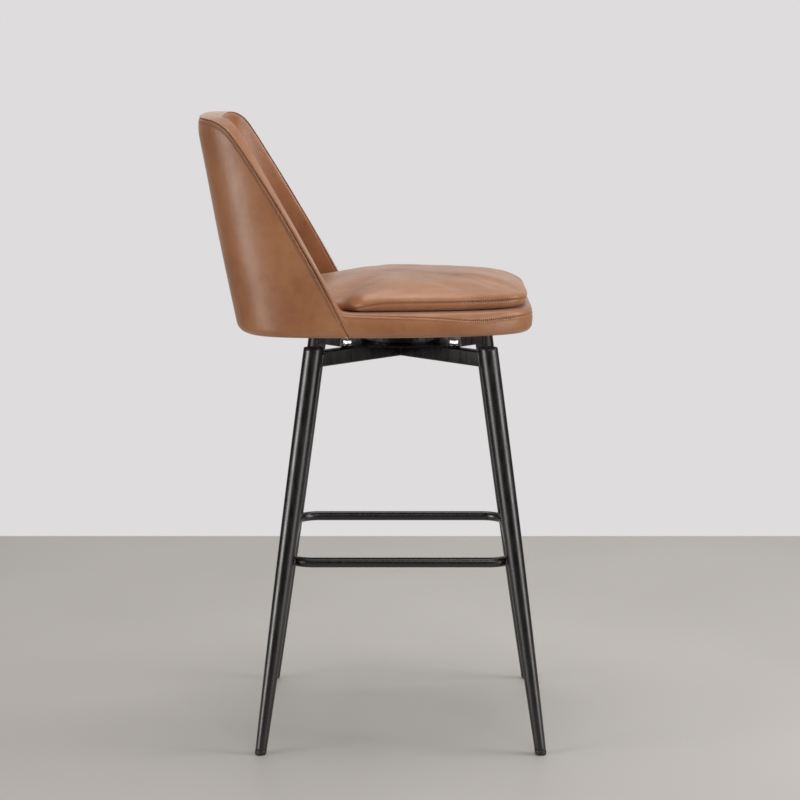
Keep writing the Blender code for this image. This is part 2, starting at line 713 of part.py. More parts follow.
def pad_section(turn):
    """Inner padding, which stands on the tub."""
    heights = face_heights(turn)
    outer = [(PAD_START, z) for z in heights]
    return outer + [(wall_depth(turn, z), z) for z in reversed(heights)]


def band_section(turn):
    """Border band: the rounded rim that closes the top of the wall."""
    low = max(seam_height(turn), DECK_Z + JOINT_GAP)
    top = rim_height(turn)
    depth, rise = wall_depth(turn, top), top - low
    crest = [
        (0.0, 0.0), (0.0, 0.25), (0.07, 0.5), (0.2, 0.76), (0.42, 0.95),
        (0.65, 1.0), (0.88, 0.93), (1.0, 0.7), (1.0, 0.0),
    ]
    underside = [PAD_START, FRAME_START + FRAME_WALL, FRAME_START, COVER_WALL]
    return [(depth * across, low + rise * up) for across, up in crest] + [(t, low) for t in underside]


def build_back(parent):
    """Cover, bent board, padding and border band."""
    build_wall("back_outer_cover", cover_section, SEAT_BOTTOM_Z + SEAM_START, "leather", parent)
    build_wall("back_board", frame_section, DECK_Z + EDGE_CLEARANCE, "plywood", parent)
    build_wall("back_inner_pad", pad_section, DECK_Z + EDGE_CLEARANCE, "leather", parent)
    build_wall("border_band", band_section, DECK_Z - BAND_DROP / 2, "leather", parent)


# ---------------------------------------------------------------- tub, board and cushion
def tub_ring(z, edge):
    """A level cut through the tub: full width ahead of the wings, inside the back behind them."""
    step_x = seam_x(max(z, SEAT_BOTTOM_Z + SEAM_START)) + JOINT_GAP
    share = (SEAT_WIDEST_X - step_x) / (SEAT_WIDEST_X - rear_x(z))
    step_turn = math.atan2((1 - share**REAR_SQUARENESS) ** (1 / REAR_SQUARENESS), share)
    front = [step_turn + 2 * (HALF_TURN - step_turn) * k / 28 for k in range(29)]
    rear = [-step_turn] + column_turns(turn_at_seam(DECK_Z + EDGE_CLEARANCE))[1:-1] + [step_turn]
    return [inset(turn, z, edge) for turn in front] + [inset(turn, z, PAD_START) for turn in rear]


def plain_ring(z, depth, count=48):
    """A level cut at one depth all round."""
    return [inset(2 * HALF_TURN * k / count, z, depth) for k in range(count)]


def build_tub(parent):
    """Padded tub with the recess that the seat board sits in."""
    rings = []
    for k in range(4):
        z = SEAT_BOTTOM_Z + LOWER_EDGE_RADIUS * k / 3
        rings.append(tub_ring(z, lower_edge(z)))
    for share in (0.0, 0.5):
        low = SEAT_BOTTOM_Z + SEAM_START
        rings.append(tub_ring(low + (DECK_Z - UPPER_EDGE_RADIUS - low) * share, 0.0))
    for k in range(4):
        angle = QUARTER_TURN * k / 3
        z = DECK_Z - UPPER_EDGE_RADIUS * (1 - math.sin(angle))
        rings.append(tub_ring(z, UPPER_EDGE_RADIUS * (1 - math.cos(angle))))
    tub = add_object("seat_tub", skin(rings), MATERIALS["leather"], parent)
    recess = skin([plain_ring(SEAT_BOTTOM_Z - TUB_LIP, TUB_LIP), plain_ring(BOARD_TOP + JOINT_GAP, TUB_LIP)])
    cut(tub, add_object("seat_tub_recess", recess, MATERIALS["steel"], parent))
    pockets = post_cutter(
        "seat_tub_pockets", square_spots(SEAT_BOLT_REACH).values(), TEE_NUT_FLANGE + JOINT_GAP,
        BOARD_Z, BOARD_TOP + TEE_NUT_PLATE + 3 * JOINT_GAP, parent,
    )
    cut(tub, pockets)


def build_board(parent):
    """Plywood seat board and the dust cover under it."""
    depth = TUB_LIP + JOINT_GAP
    board = skin([plain_ring(BOARD_Z, depth), plain_ring(BOARD_TOP, depth)])
    board = add_object("seat_board", board, MATERIALS["plywood"], parent)
    spots = square_spots(SEAT_BOLT_REACH).values()
    cut(board, post_cutter("seat_board_drill", spots, TEE_NUT_BARREL + JOINT_GAP, SEAT_BOTTOM_Z, DECK_Z, parent))
    top = SEAT_BOTTOM_Z + DUST_COVER_THICKNESS
    sheet = skin([plain_ring(SEAT_BOTTOM_Z, depth), plain_ring(top, depth)])
    sheet = add_object("dust_cover", sheet, MATERIALS["black_cloth"], parent)
    radius = SEAT_BOLT_RADIUS + HOLE_CLEARANCE
    cut(sheet, post_cutter("dust_cover_drill", spots, radius, UPPER_PLATE_Z, BOARD_Z, parent))


def cushion_depth(turn):
    """How far the cushion's seam lies inside the seat's outline."""
    x = outline(turn, DECK_Z).x
    start = seam_x(DECK_Z) + 0.045
    share = min(1.0, max(0.0, (start - x) / 0.04))
    share = share * share * (3 - 2 * share)
    wing = WING_THICKNESS + EDGE_CLEARANCE - CUSHION_INSET
    depth = CUSHION_INSET + wing * share
    if math.cos(turn) > 0:
        depth += (BACK_THICKNESS - WING_THICKNESS) * math.cos(turn) ** 2 * share
    return depth


def build_cushion(parent):
    """Crowned cushion, its widest line at the seam near its lower edge."""
    seam_z = DECK_Z + CUSHION_SEAM_HEIGHT
    turns = [2 * HALF_TURN * k / 48 for k in range(48)]
    seam = [inset(turn, seam_z, cushion_depth(turn)) for turn in turns]
    middle = sum(seam, Vector()) / len(seam)
    crown = CUSHION_TOP_Z - seam_z
    low = DECK_Z + JOINT_GAP
    levels = [
        (0.95, low), (0.985, low + 0.005), (1.0, seam_z), (0.995, seam_z + crown * 0.2),
        (0.965, seam_z + crown * 0.4), (0.9, seam_z + crown * 0.59), (0.75, seam_z + crown * 0.74),
        (0.45, seam_z + crown * 0.91), (0.15, CUSHION_TOP_Z),
    ]
    rings = []
    for share, z in levels:
        rings.append([
            Vector((middle.x + (p.x - middle.x) * share, middle.y + (p.y - middle.y) * share, z)) for p in seam
        ])
    add_object("seat_cushion", skin(rings), MATERIALS["leather"], parent)


# ---------------------------------------------------------------- the whole stool
def footprint_offset():
    """Distance from the swivel's axis to the middle of the stool's length."""
    front = max(LEG_FOOT_REACH + LEG_FOOT_RADIUS, SEAT_FRONT)
    steps = 40
    heights = [SEAT_BOTTOM_Z + (BACK_TOP_Z - SEAT_BOTTOM_Z) * k / steps for k in range(steps + 1)]
    rear = max(max(-rear_x(z) for z in heights), LEG_FOOT_REACH + LEG_FOOT_RADIUS)
    return (rear - front) / 2


def build_stool():
    """Build every piece under the empty of the body that carries it."""
    base = add_empty("stool_base", (footprint_offset(), 0, 0))
    cage = add_empty("cage_axis", (0, 0, 0), base)
    seat = add_empty("seat_axis", (0, 0, 0), base)
    for name, corner in CORNERS.items():
        build_leg(name, corner, base)
    build_footrest(base)
    build_cross_bars(base)
    build_plate_bolts(base)
    build_swivel(base, cage, seat)
    build_seat_bolts(seat)
    build_tub(seat)
    build_board(seat)
    build_back(seat)
    build_cushion(seat)


clear_scene()
MATERIALS = {
    "black_steel": make_material("black_steel", (0.012, 0.011, 0.011), 0.38, 0.4),
    "black_plastic": make_material("black_plastic", (0.010, 0.010, 0.010), 0.5, 0.0),
    "zinc": make_material("zinc", (0.62, 0.63, 0.65), 0.3, 1.0),
    "steel": make_material("steel", (0.5, 0.5, 0.5), 0.25, 1.0),
    "nylon": make_material("nylon", (0.6, 0.58, 0.52), 0.45, 0.0),
    "leather": make_material("leather", (0.30, 0.14, 0.075), 0.42, 0.0),
    "plywood": make_material("plywood", (0.55, 0.38, 0.22), 0.6, 0.0),
    "black_cloth": make_material("black_cloth", (0.01, 0.01, 0.01), 0.9, 0.0),
}
build_stool()
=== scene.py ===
"""Looks of a swivel bar stool: a leather bucket seat on a black steel base with a footrest.

Metres, +Z up. The stool faces +X and the sitter's left side is +Y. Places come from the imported
frame; the classes below hold the sizes that only the looks need.
"""

import json
import logging
import math
from collections.abc import Callable, Sequence
from dataclasses import dataclass
from enum import Enum
from functools import cached_property, partial

import bmesh
import bpy
import numpy as np
from mathutils import Matrix, Vector
from mathutils.kdtree import KDTree


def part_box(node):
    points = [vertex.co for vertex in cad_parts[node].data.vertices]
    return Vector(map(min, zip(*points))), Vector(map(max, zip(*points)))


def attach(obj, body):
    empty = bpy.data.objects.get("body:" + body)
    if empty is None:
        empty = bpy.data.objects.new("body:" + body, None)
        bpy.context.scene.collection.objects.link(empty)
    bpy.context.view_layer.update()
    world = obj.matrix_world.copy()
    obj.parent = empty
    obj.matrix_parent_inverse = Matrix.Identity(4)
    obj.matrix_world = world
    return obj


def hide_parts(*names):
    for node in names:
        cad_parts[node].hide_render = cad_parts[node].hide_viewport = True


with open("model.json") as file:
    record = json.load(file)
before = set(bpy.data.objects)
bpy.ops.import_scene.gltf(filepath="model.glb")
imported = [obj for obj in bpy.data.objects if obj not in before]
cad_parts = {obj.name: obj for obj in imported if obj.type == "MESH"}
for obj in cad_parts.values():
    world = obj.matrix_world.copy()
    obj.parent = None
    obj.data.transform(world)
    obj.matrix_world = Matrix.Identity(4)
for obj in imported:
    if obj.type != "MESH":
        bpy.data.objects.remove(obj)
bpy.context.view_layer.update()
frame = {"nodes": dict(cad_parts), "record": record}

LOG = logging.getLogger("stool")
MM = 0.001
TAU = 2 * math.pi
SIDES = {"front_left": (1, 1), "front_right": (1, -1), "rear_left": (-1, 1), "rear_right": (-1, -1)}


class Body(Enum):
    """The rigid bodies that pieces ride on."""

    BASE = "base"
    CAGE = "cage"
    SEAT = "seat"


# ---------------------------------------------------------------- node helpers
def linear(hex_colour: str) -> tuple[float, float, float, float]:
    """Turn an sRGB hex colour into a linear one with full alpha.

    Args:
        hex_colour: Such as "#96694e".

    Returns:
        Red, green, blue and alpha.
    """
    parts = [int(hex_colour[k : k + 2], 16) / 255 for k in (1, 3, 5)]
    return (*[p / 12.92 if p <= 0.04045 else ((p + 0.055) / 1.055) ** 2.4 for p in parts], 1.0)


def fill(tree: bpy.types.NodeTree, socket: bpy.types.NodeSocket, value: object) -> None:
    """Link an input to a socket or to a node's first output, or else set its value.

    Args:
        tree: The node tree.
        socket: The input.
        value: A node, an output socket or a plain value.
    """
    if isinstance(value, bpy.types.Node):
        value = value.outputs[0]
    if isinstance(value, bpy.types.NodeSocket):
        tree.links.new(value, socket)
    else:
        socket.default_value = value


def add_node(
    tree: bpy.types.NodeTree, kind: str, inputs: dict[str | int, object] | None = None,
    stops: Sequence[tuple[float, str | float]] = (), **settings: object,
) -> bpy.types.Node:
    """Add a node, set its properties, and fill or link its inputs.

    Args:
        tree: The node tree that it goes into.
        kind: The node's type name.
        inputs: Socket name or index, to what fills it.
        stops: A ramp's positions, each with an sRGB hex colour or a grey number.
        **settings: Properties of the node.

    Returns:
        The new node.
    """
    node = tree.nodes.new(kind)
    for name, value in settings.items():
        setattr(node, name, value)
    for key, value in (inputs or {}).items():
        fill(tree, node.inputs[key], value)
    for _ in stops[2:]:
        node.color_ramp.elements.new(0.5)
    for element, (position, colour) in zip(node.color_ramp.elements if stops else (), stops):
        element.position = position
        element.color = linear(colour) if isinstance(colour, str) else (colour, colour, colour, 1.0)
    return node


class MaterialBench:
    """A new material with its Principled shader."""

    def __init__(self, name: str) -> None:
        """Make the material.

        Args:
            name: The material's name.
        """
        self.material = bpy.data.materials.new(name)
        self.material.use_nodes = True
        self.tree = self.material.node_tree
        self.add = partial(add_node, self.tree)
        self.place = self.add("ShaderNodeTexCoord").outputs["Object"]

    def finish(self, relief: Sequence[tuple[bpy.types.Node, float]], **sockets: object) -> bpy.types.Material:
        """Stack the relief onto the shader's normal, and fill or link its other inputs.

        Args:
            relief: Nodes that give a height from 0 to 1, each with that height in metres.
            **sockets: The shader's inputs, with _ for a space in their names.

        Returns:
            The material.
        """
        for height, depth in relief:
            inputs = {"Height": height, "Distance": depth, "Strength": 1.0}
            if "Normal" in sockets:
                inputs["Normal"] = sockets["Normal"]
            sockets["Normal"] = self.add("ShaderNodeBump", inputs)
        shader = self.tree.nodes["Principled BSDF"]
        for name, value in sockets.items():
            fill(self.tree, shader.inputs[name.replace("_", " ")], value)
        return self.material


# ---------------------------------------------------------------- finishes
@dataclass(frozen=True)
class Pattern:
    """A texture at its real size."""

    size: float
    detail: float = 2.0                # octaves of finer noise, 0 for round cells instead
    squeeze: tuple[float, float, float] = (1.0, 1.0, 1.0)
    ceiling: float = 0.0               # height at which it is cut off, 0 for none

    def lay(self, bench: MaterialBench) -> bpy.types.Node:
        """Add the pattern to a material.

        Args:
            bench: The material's bench.

        Returns:
            The node that gives the pattern's value.
        """
        inputs = {"Vector": bench.place, "Scale": 1 / self.size}
        if self.squeeze != (1.0, 1.0, 1.0):
            inputs["Vector"] = bench.add("ShaderNodeMapping", {"Vector": bench.place, "Scale": self.squeeze})
        if self.detail:
            inputs["Detail"] = self.detail
        value = bench.add("ShaderNodeTexNoise" if self.detail else "ShaderNodeTexVoronoi", inputs)
        if self.ceiling:
            value = bench.add("ShaderNodeMath", {0: value, 1: self.ceiling}, operation="MINIMUM")
        return value


@dataclass(frozen=True)
class SaddleLeather:
    """Semi-aniline cowhide, drum-dyed and lightly waxed."""

    slot: str = "leather"
    dark: str = "#885739"
    middle: str = "#9f6b48"
    light: str = "#b07d5a"
    worn: str = "#c49b7d"
    # dark brown painted along the seams and stitch rows as their shade
    seam_painted_shade: str = "#5c341d"
    roughness: float = 0.34
    cloud_share: float = 0.74          # of the tone, with mottle as the rest
    clouds: Pattern = Pattern(110 * MM, 3.0)
    mottle: Pattern = Pattern(14 * MM, 4.0)
    creases: Pattern = Pattern(9 * MM, 5.0, (1.0, 1.0, 0.45))
    pores: Pattern = Pattern(1.3 * MM, 0)    # real grain is finer, drawn coarse enough to show
    wander: Pattern = Pattern(16 * MM)
    crease_depth: float = 0.35 * MM
    pore_depth: float = 0.07 * MM
    # share of painted shade that darkens the pores' pits
    pore_painted_shade: float = 0.10
    # how much of that painted seam shade is mixed in
    seam_shade_share: float = 0.45
    gather_pitch: float = 3.4 * MM     # between the tucks of the gathered corners
    gather_depth: float = 1.8 * MM
    gather_wander: float = 1.5         # radians

    def material(self) -> bpy.types.Material:
        """Build the leather.

        Returns:
            The material.
        """
        # Clouds and mottle give the eye a dyed hide's uneven brown, and paler ridges its wear. Pores
        # and creases break up the sheen, and the tucks catch the light along the sewn corners.
        bench = MaterialBench("saddle_leather")
        add = bench.add
        mottle = add("ShaderNodeMath", {0: self.mottle.lay(bench), 1: 1 - self.cloud_share}, operation="MULTIPLY")
        tone = add(
            "ShaderNodeMath", {0: self.clouds.lay(bench), 1: self.cloud_share, 2: mottle}, operation="MULTIPLY_ADD"
        )
        colour = add("ShaderNodeValToRGB", {"Fac": tone}, ((0.30, self.dark), (0.50, self.middle), (0.72, self.light)))
        ridge = add("ShaderNodeNewGeometry").outputs["Pointiness"]
        wear = add("ShaderNodeValToRGB", {"Fac": ridge}, ((0.515, 0.0), (0.56, 0.55)))
        pores, creases = self.pores.lay(bench), self.creases.lay(bench)
        # Painted shade: the pores' pits, low in the bump, are drawn a little darker.
        pit_painted_shade = add("ShaderNodeValToRGB", {"Fac": pores}, ((0.0, 0.30), (0.6, 1.0)))
        # The sewn attribute carries painted shade: a dark brown mixed into the leather along the seam grooves and under
        # the stitch rows.
        run, gather, sewn = (
            add("ShaderNodeAttribute", attribute_name=name).outputs["Fac"] for name in ("seam_run", "gather", "sewn")
        )
        thread = add("ShaderNodeMath", {0: sewn, 1: self.seam_shade_share}, operation="MULTIPLY")
        for share, other, mode in (
            (wear, linear(self.worn), "MIX"), (self.pore_painted_shade, pit_painted_shade, "MULTIPLY"),
            (thread, linear(self.seam_painted_shade), "MIX"),
        ):
            mixed = add("ShaderNodeMix", {0: share, 6: colour, 7: other}, data_type="RGBA", blend_type=mode)
            colour = mixed.outputs[2]
        rough = add("ShaderNodeValToRGB", {"Fac": tone}, ((0.25, self.roughness + 0.10), (0.75, self.roughness - 0.05)))

        wander = add("ShaderNodeMath", {0: self.wander.lay(bench), 1: self.gather_wander}, operation="MULTIPLY")
        phase = add("ShaderNodeMath", {0: run, 1: TAU / self.gather_pitch, 2: wander}, operation="MULTIPLY_ADD")
        wave = add("ShaderNodeMath", {0: phase}, operation="SINE")
        tucks = add("ShaderNodeMath", {0: wave, 1: gather}, operation="MULTIPLY")
        return bench.finish(
            ((tucks, self.gather_depth / 2), (creases, self.crease_depth), (pores, self.pore_depth)),
            Base_Color=colour, Roughness=rough, Sheen_Weight=0.12, Sheen_Roughness=0.4,
        )


@dataclass(frozen=True)
class PatchyFinish:
    """A finish whose tone and gloss follow one pattern, with a relief of its own."""

    name: str
    slot: str
    pattern: Pattern
    tones: tuple[tuple[float, str], ...]
    gloss: tuple[tuple[float, float], ...] | float    # roughness, by the pattern or the same all over
    relief: tuple[tuple[Pattern | None, float], ...] = ()    # None for the finish's own pattern
    metallic: float = 0.0
    sheen: float = 0.0
    specular: float = 0.5

    def material(self) -> bpy.types.Material:
        """Build the material.

        Returns:
            The material.
        """
        bench = MaterialBench(self.name)
        value = self.pattern.lay(bench)
        colour = bench.add("ShaderNodeValToRGB", {"Fac": value}, self.tones)
        rough = self.gloss
        if not isinstance(rough, float):
            rough = bench.add("ShaderNodeValToRGB", {"Fac": value}, self.gloss)
        return bench.finish(
            [(pattern.lay(bench) if pattern else value, depth) for pattern, depth in self.relief],
            Base_Color=colour, Roughness=rough, Metallic=self.metallic, Sheen_Weight=self.sheen,
            Specular_IOR_Level=self.specular,
        )


class Finishes:
    """Every finish of the stool, each made once."""

    def __init__(self) -> None:
        """Choose the finishes and make their materials."""
        self.leather = SaddleLeather()
        # Satin black whose highlights run along the tubes, faintly rippled by orange peel.
        self.coat = PatchyFinish(
            "black_powder_coat", "black_steel", Pattern(6 * MM, 4.0, (1.0, 1.0, 0.12)),
            ((0.4, "#090808"), (0.7, "#110e0d")), ((0.3, 0.23), (0.7, 0.37)),
            ((Pattern(1.6 * MM), 0.02 * MM), (Pattern(0.5 * MM, 1.0), 0.02 / 3 * MM)), specular=0.8,
        )
        # Pale bright metal with a straw tint in patches, and fine rolling scratches.
        self.zinc = PatchyFinish(
            "bright_zinc", "zinc", Pattern(4 * MM, 3.0), ((0.4, "#d3d4d8"), (0.7, "#b7b1a2")),
            ((0.3, 0.24), (0.8, 0.42)), ((Pattern(0.35 * MM, 2.0, (1.0, 1.0, 6.0)), 0.02 * MM),), metallic=1.0,
        )
        # Polished steel that smears of grease make dull in places.
        self.steel = PatchyFinish(
            "bearing_steel", "steel", Pattern(3 * MM, 3.0), ((0.0, "#b9b8b4"), (1.0, "#8e8c86")),
            ((0.35, 0.14), (0.7, 0.38)), ((None, 0.01 * MM),), metallic=1.0,
        )
        # Moulded black plastic: a fine spark-eroded grain, greyer and duller where it is scuffed.
        self.plastic = PatchyFinish(
            "black_polyethylene", "black_plastic", Pattern(5 * MM, 5.0), ((0.5, "#191919"), (0.75, "#2b2a29")),
            ((0.3, 0.46), (0.8, 0.66)), ((Pattern(0.45 * MM, 0), 0.03 * MM),),
        )
        # The same grain on milky, unpigmented nylon.
        self.nylon = PatchyFinish(
            "natural_nylon", "nylon", Pattern(5 * MM, 5.0), ((0.5, "#cfc9b8"), (0.75, "#b3ab97")),
            ((0.3, 0.42), (0.8, 0.62)), ((Pattern(0.45 * MM, 0), 0.03 * MM),),
        )
        # Rotary-cut birch: long pale streaks along X, quite dull.
        self.plywood = PatchyFinish(
            "birch_plywood", "plywood", Pattern(6 * MM, 6.0, (0.08, 1.0, 1.0)),
            ((0.3, "#b98f5f"), (0.55, "#cfab7c"), (0.75, "#dcc097")), 0.68, ((None, 0.1 * MM),),
        )
        # Spun-bonded cloth: matt dark fibres with the dimples that bond them.
        self.cloth = PatchyFinish(
            "black_dust_cloth", "black_cloth", Pattern(0.8 * MM, 5.0, (1.0, 0.35, 1.0)),
            ((0.3, "#0c0c0d"), (0.7, "#26262a")), 0.92,
            ((Pattern(1.6 * MM, 0, ceiling=0.35), 0.18 * MM), (None, 0.12 * MM)), sheen=0.25,
        )
        # Waxed twisted thread: light strands and dark gaps, which keep the rows lively.
        self.thread = PatchyFinish(
            "saddle_thread", "leather", Pattern(0.5 * MM), ((0.0, "#b58561"), (1.0, "#6d452c")), 0.62,
            ((None, 0.06 * MM),),
        )
        self.made = {finish: finish.material() for finish in vars(self).values()}

    def by_slot(self, slot: str) -> bpy.types.Material:
        """The material that a record's slot is drawn with."""
        return next(material for finish, material in self.made.items() if finish.slot == slot)


# ---------------------------------------------------------------- mesh helpers
def smooth_line(points: Sequence[Sequence[float]], count: int) -> np.ndarray:
    """Points along a Catmull-Rom curve through a few given ones.

    Args:
        points: The points that the curve passes, each with the same number of values.
        count: How many points to return.

    Returns:
        An array of count rows.
    """
    knots = np.array(points, float)
    knots = np.vstack([2 * knots[0] - knots[1], knots, 2 * knots[-1] - knots[-2]])
    place = np.linspace(0, len(points) - 1, count)
    index = np.minimum(place.astype(int), len(points) - 2)
    t = (place - index)[:, None]
    a, b, c, d = (knots[index + k] for k in range(4))
    return 0.5 * (2 * b + (c - a) * t + (2 * a - 5 * b + 4 * c - d) * t**2 + (3 * b - a - 3 * c + d) * t**3)


def smooth_step(value: np.ndarray, low: float, high: float) -> np.ndarray:
    """0 below low, 1 above high, and a smooth rise between."""
    share = np.clip((np.asarray(value, float) - low) / (high - low), 0, 1)
    return share * share * (3 - 2 * share)


def ripple(points: np.ndarray, size: float, seed: int) -> np.ndarray:
    """A soft, repeatable unevenness of about one size, from -1 to 1.

    Args:
        points: Array whose last axis is X, Y and Z.
        size: The size of its humps in metres.
        seed: Which of the many patterns.

    Returns:
        One value for each point.
    """
    rng = np.random.default_rng(seed)
    total = np.zeros(points.shape[:-1])
    for _ in range(9):
        direction = rng.normal(size=3)
        direction *= rng.uniform(0.7, 1.4) / size / np.linalg.norm(direction)
        total += np.sin(TAU / 2 * (points @ direction) + rng.uniform(0, TAU))
    return total / 4.5


VOXEL = 5 * MM                         # of the coarse copy
PRESSURE = 4.0
CLOTH_FRAMES = 20
NEIGHBOURS, CARRY = 22, 0.010          # coarse points that move a fine one, and their reach


def swell_by_cloth(mesh: bpy.types.Mesh, floor: float, seam: np.ndarray, cap: float) -> None:
    """Swell a padded mesh by simulating its leather as cloth under pressure.

    A coarse copy is simulated, held at its seam and underside, and its capped movement is carried
    back to the fine mesh, so seams and attributes stay as they are.

    Args:
        mesh: The fine mesh, which is changed.
        floor: Height below which nothing moves.
        seam: Points along which the leather is sewn down.
        cap: The furthest that a point may move.
    """
    coarse = bpy.data.objects.new("coarse", mesh.copy())
    bpy.context.scene.collection.objects.link(coarse)
    remesh = coarse.modifiers.new("voxels", "REMESH")
    remesh.mode, remesh.voxel_size = "VOXEL", VOXEL
    graph = bpy.context.evaluated_depsgraph_get()
    coarse.data = bpy.data.meshes.new_from_object(coarse.evaluated_get(graph))
    coarse.modifiers.clear()
    start = np.array([v.co[:] for v in coarse.data.vertices])
    seam_tree = KDTree(len(seam))
    for k, point in enumerate(seam):
        seam_tree.insert(point, k)
    seam_tree.balance()
    held = coarse.vertex_groups.new(name="held")
    still = np.array([p[2] < floor or seam_tree.find(p)[2] < VOXEL for p in start])
    held.add(np.flatnonzero(still).tolist(), 1.0, "REPLACE")
    cloth = coarse.modifiers.new("cloth", "CLOTH")
    settings = cloth.settings
    settings.vertex_group_mass = "held"
    settings.use_pressure, settings.uniform_pressure_force = True, PRESSURE
    settings.quality, settings.mass = 5, 0.4
    settings.tension_stiffness = settings.compression_stiffness = 25
    settings.bending_stiffness = 3.0
    settings.effector_weights.gravity = 0.0
    scene = bpy.context.scene
    for number in range(1, CLOTH_FRAMES + 1):
        scene.frame_set(number)
    graph = bpy.context.evaluated_depsgraph_get()
    end = np.array([v.co[:] for v in coarse.evaluated_get(graph).data.vertices])
    scene.frame_set(1)
    move = end - start
    size = np.maximum(np.linalg.norm(move, axis=1), 1e-9)[:, None]
    move *= cap / np.sqrt(cap**2 + size**2)
    tree = KDTree(len(start))
    for k, point in enumerate(start):
        tree.insert(point, k)
    tree.balance()
    for vertex in mesh.vertices:
        found = tree.find_n(vertex.co, NEIGHBOURS)
        weight = np.array([math.exp(-((f[2] / CARRY) ** 2)) for f in found])
        shift = (move[[f[1] for f in found]] * weight[:, None]).sum(0) / weight.sum()
        near = seam_tree.find(vertex.co)[2]
        free = smooth_step(near, 2 * MM, 14 * MM) * smooth_step(vertex.co.z, floor, floor + 6 * MM)
        vertex.co += Vector(shift * free)
    LOG.info("cloth moved the mesh by up to %.1f mm before its limit", size.max() / MM)
    bpy.data.objects.remove(coarse)


class PieceMaker:
    """Turns arrays of points into finished, dressed and riding pieces."""

    def __init__(self, finishes: Finishes) -> None:
        """Keep the finishes.

        Args:
            finishes: Where each piece's material comes from.
        """
        self.finishes = finishes

    @staticmethod
    def grid(
        points: np.ndarray, wrap_columns: bool = True, wrap_rows: bool = True,
        values: dict[str, np.ndarray] | None = None,
    ) -> bpy.types.Mesh:
        """Skin an array of sections.

        Args:
            points: Columns by rows by XYZ.
            wrap_columns: Join the last section to the first, or else cap both.
            wrap_rows: Each section is a closed loop, or else its two ends are poles or rims.
            values: Attributes by name, columns by rows.

        Returns:
            The mesh, with its faces outwards.
        """
        columns, rows = points.shape[:2]
        index = np.arange(columns * rows).reshape(columns, rows)
        here = index if wrap_columns else index[:-1]
        there = np.roll(index, -1, 0) if wrap_columns else index[1:]
        if wrap_rows:
            quads = np.stack([here, there, np.roll(there, -1, 1), np.roll(here, -1, 1)], -1)
        else:
            quads = np.stack([here[:, :-1], there[:, :-1], there[:, 1:], here[:, 1:]], -1)
        faces = quads.reshape(-1, 4).tolist()
        if not wrap_columns:
            faces += [index[0].tolist(), index[-1].tolist()]
        if not wrap_rows and wrap_columns:
            faces += [index[:, 0].tolist(), index[:, -1].tolist()]
        mesh = bpy.data.meshes.new("grid")
        mesh.from_pydata(points.reshape(-1, 3).tolist(), [], faces)
        for name, value in (values or {}).items():
            mesh.attributes.new(name, "FLOAT", "POINT").data.foreach_set("value", value.astype(np.float32).ravel())
        builder = bmesh.new()
        builder.from_mesh(mesh)
        bmesh.ops.remove_doubles(builder, verts=builder.verts, dist=0.002 * MM)
        bmesh.ops.recalc_face_normals(builder, faces=builder.faces)
        builder.to_mesh(mesh)
        builder.free()
        return mesh

    def piece(
        self, name: str, mesh: bpy.types.Mesh, finish: object, body: Body, *nodes: str, sharp: float = 50.0
    ) -> bpy.types.Object:
        """Make an object of a mesh, dress it, and let it ride and replace.

        Args:
            name: The piece's name.
            mesh: Its mesh, already in place.
            finish: One of the finishes.
            body: The body that it rides on.
            *nodes: CAD nodes that it stands for.
            sharp: Angle in degrees past which an edge is drawn sharp.

        Returns:
            The object.
        """
        mesh.name = name
        mesh.materials.clear()
        mesh.materials.append(self.finishes.made[finish])
        mesh.shade_smooth()
        mesh.set_sharp_from_angle(angle=math.radians(sharp))
        obj = bpy.data.objects.new(name, mesh)
        bpy.context.scene.collection.objects.link(obj)
        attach(obj, body.value)
        if nodes:
            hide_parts(*nodes)
        LOG.info("%s: %d faces on %s", name, len(mesh.polygons), body.value)
        return obj

    @staticmethod
    def tube(path: np.ndarray, radii: np.ndarray | float, sides: int, closed: bool) -> bpy.types.Mesh:
        """Sweep a round section along a path without twist.

        Args:
            path: Points of the centre line.
            radii: One radius, or one for each point.
            sides: Points round the section.
            closed: The path is a loop.

        Returns:
            The tube's mesh.
        """
        if closed:
            tangent = np.roll(path, -1, 0) - np.roll(path, 1, 0)
        else:
            tangent = np.gradient(path, axis=0)
        tangent /= np.linalg.norm(tangent, axis=1)[:, None]
        up = np.array([0.0, 0.0, 1.0]) if abs(tangent[:, 2]).max() < 0.9 else np.array([0.3, 0.95, 0.0])
        across = np.cross(tangent, up)
        across /= np.linalg.norm(across, axis=1)[:, None]
        rise = np.cross(across, tangent)
        angle = np.arange(sides) * TAU / sides
        radius = np.broadcast_to(np.asarray(radii, float), len(path))[:, None, None]
        ring = across[:, None] * np.cos(angle)[None, :, None] + rise[:, None] * np.sin(angle)[None, :, None]
        return PieceMaker.grid(path[:, None] + radius * ring, wrap_columns=closed)


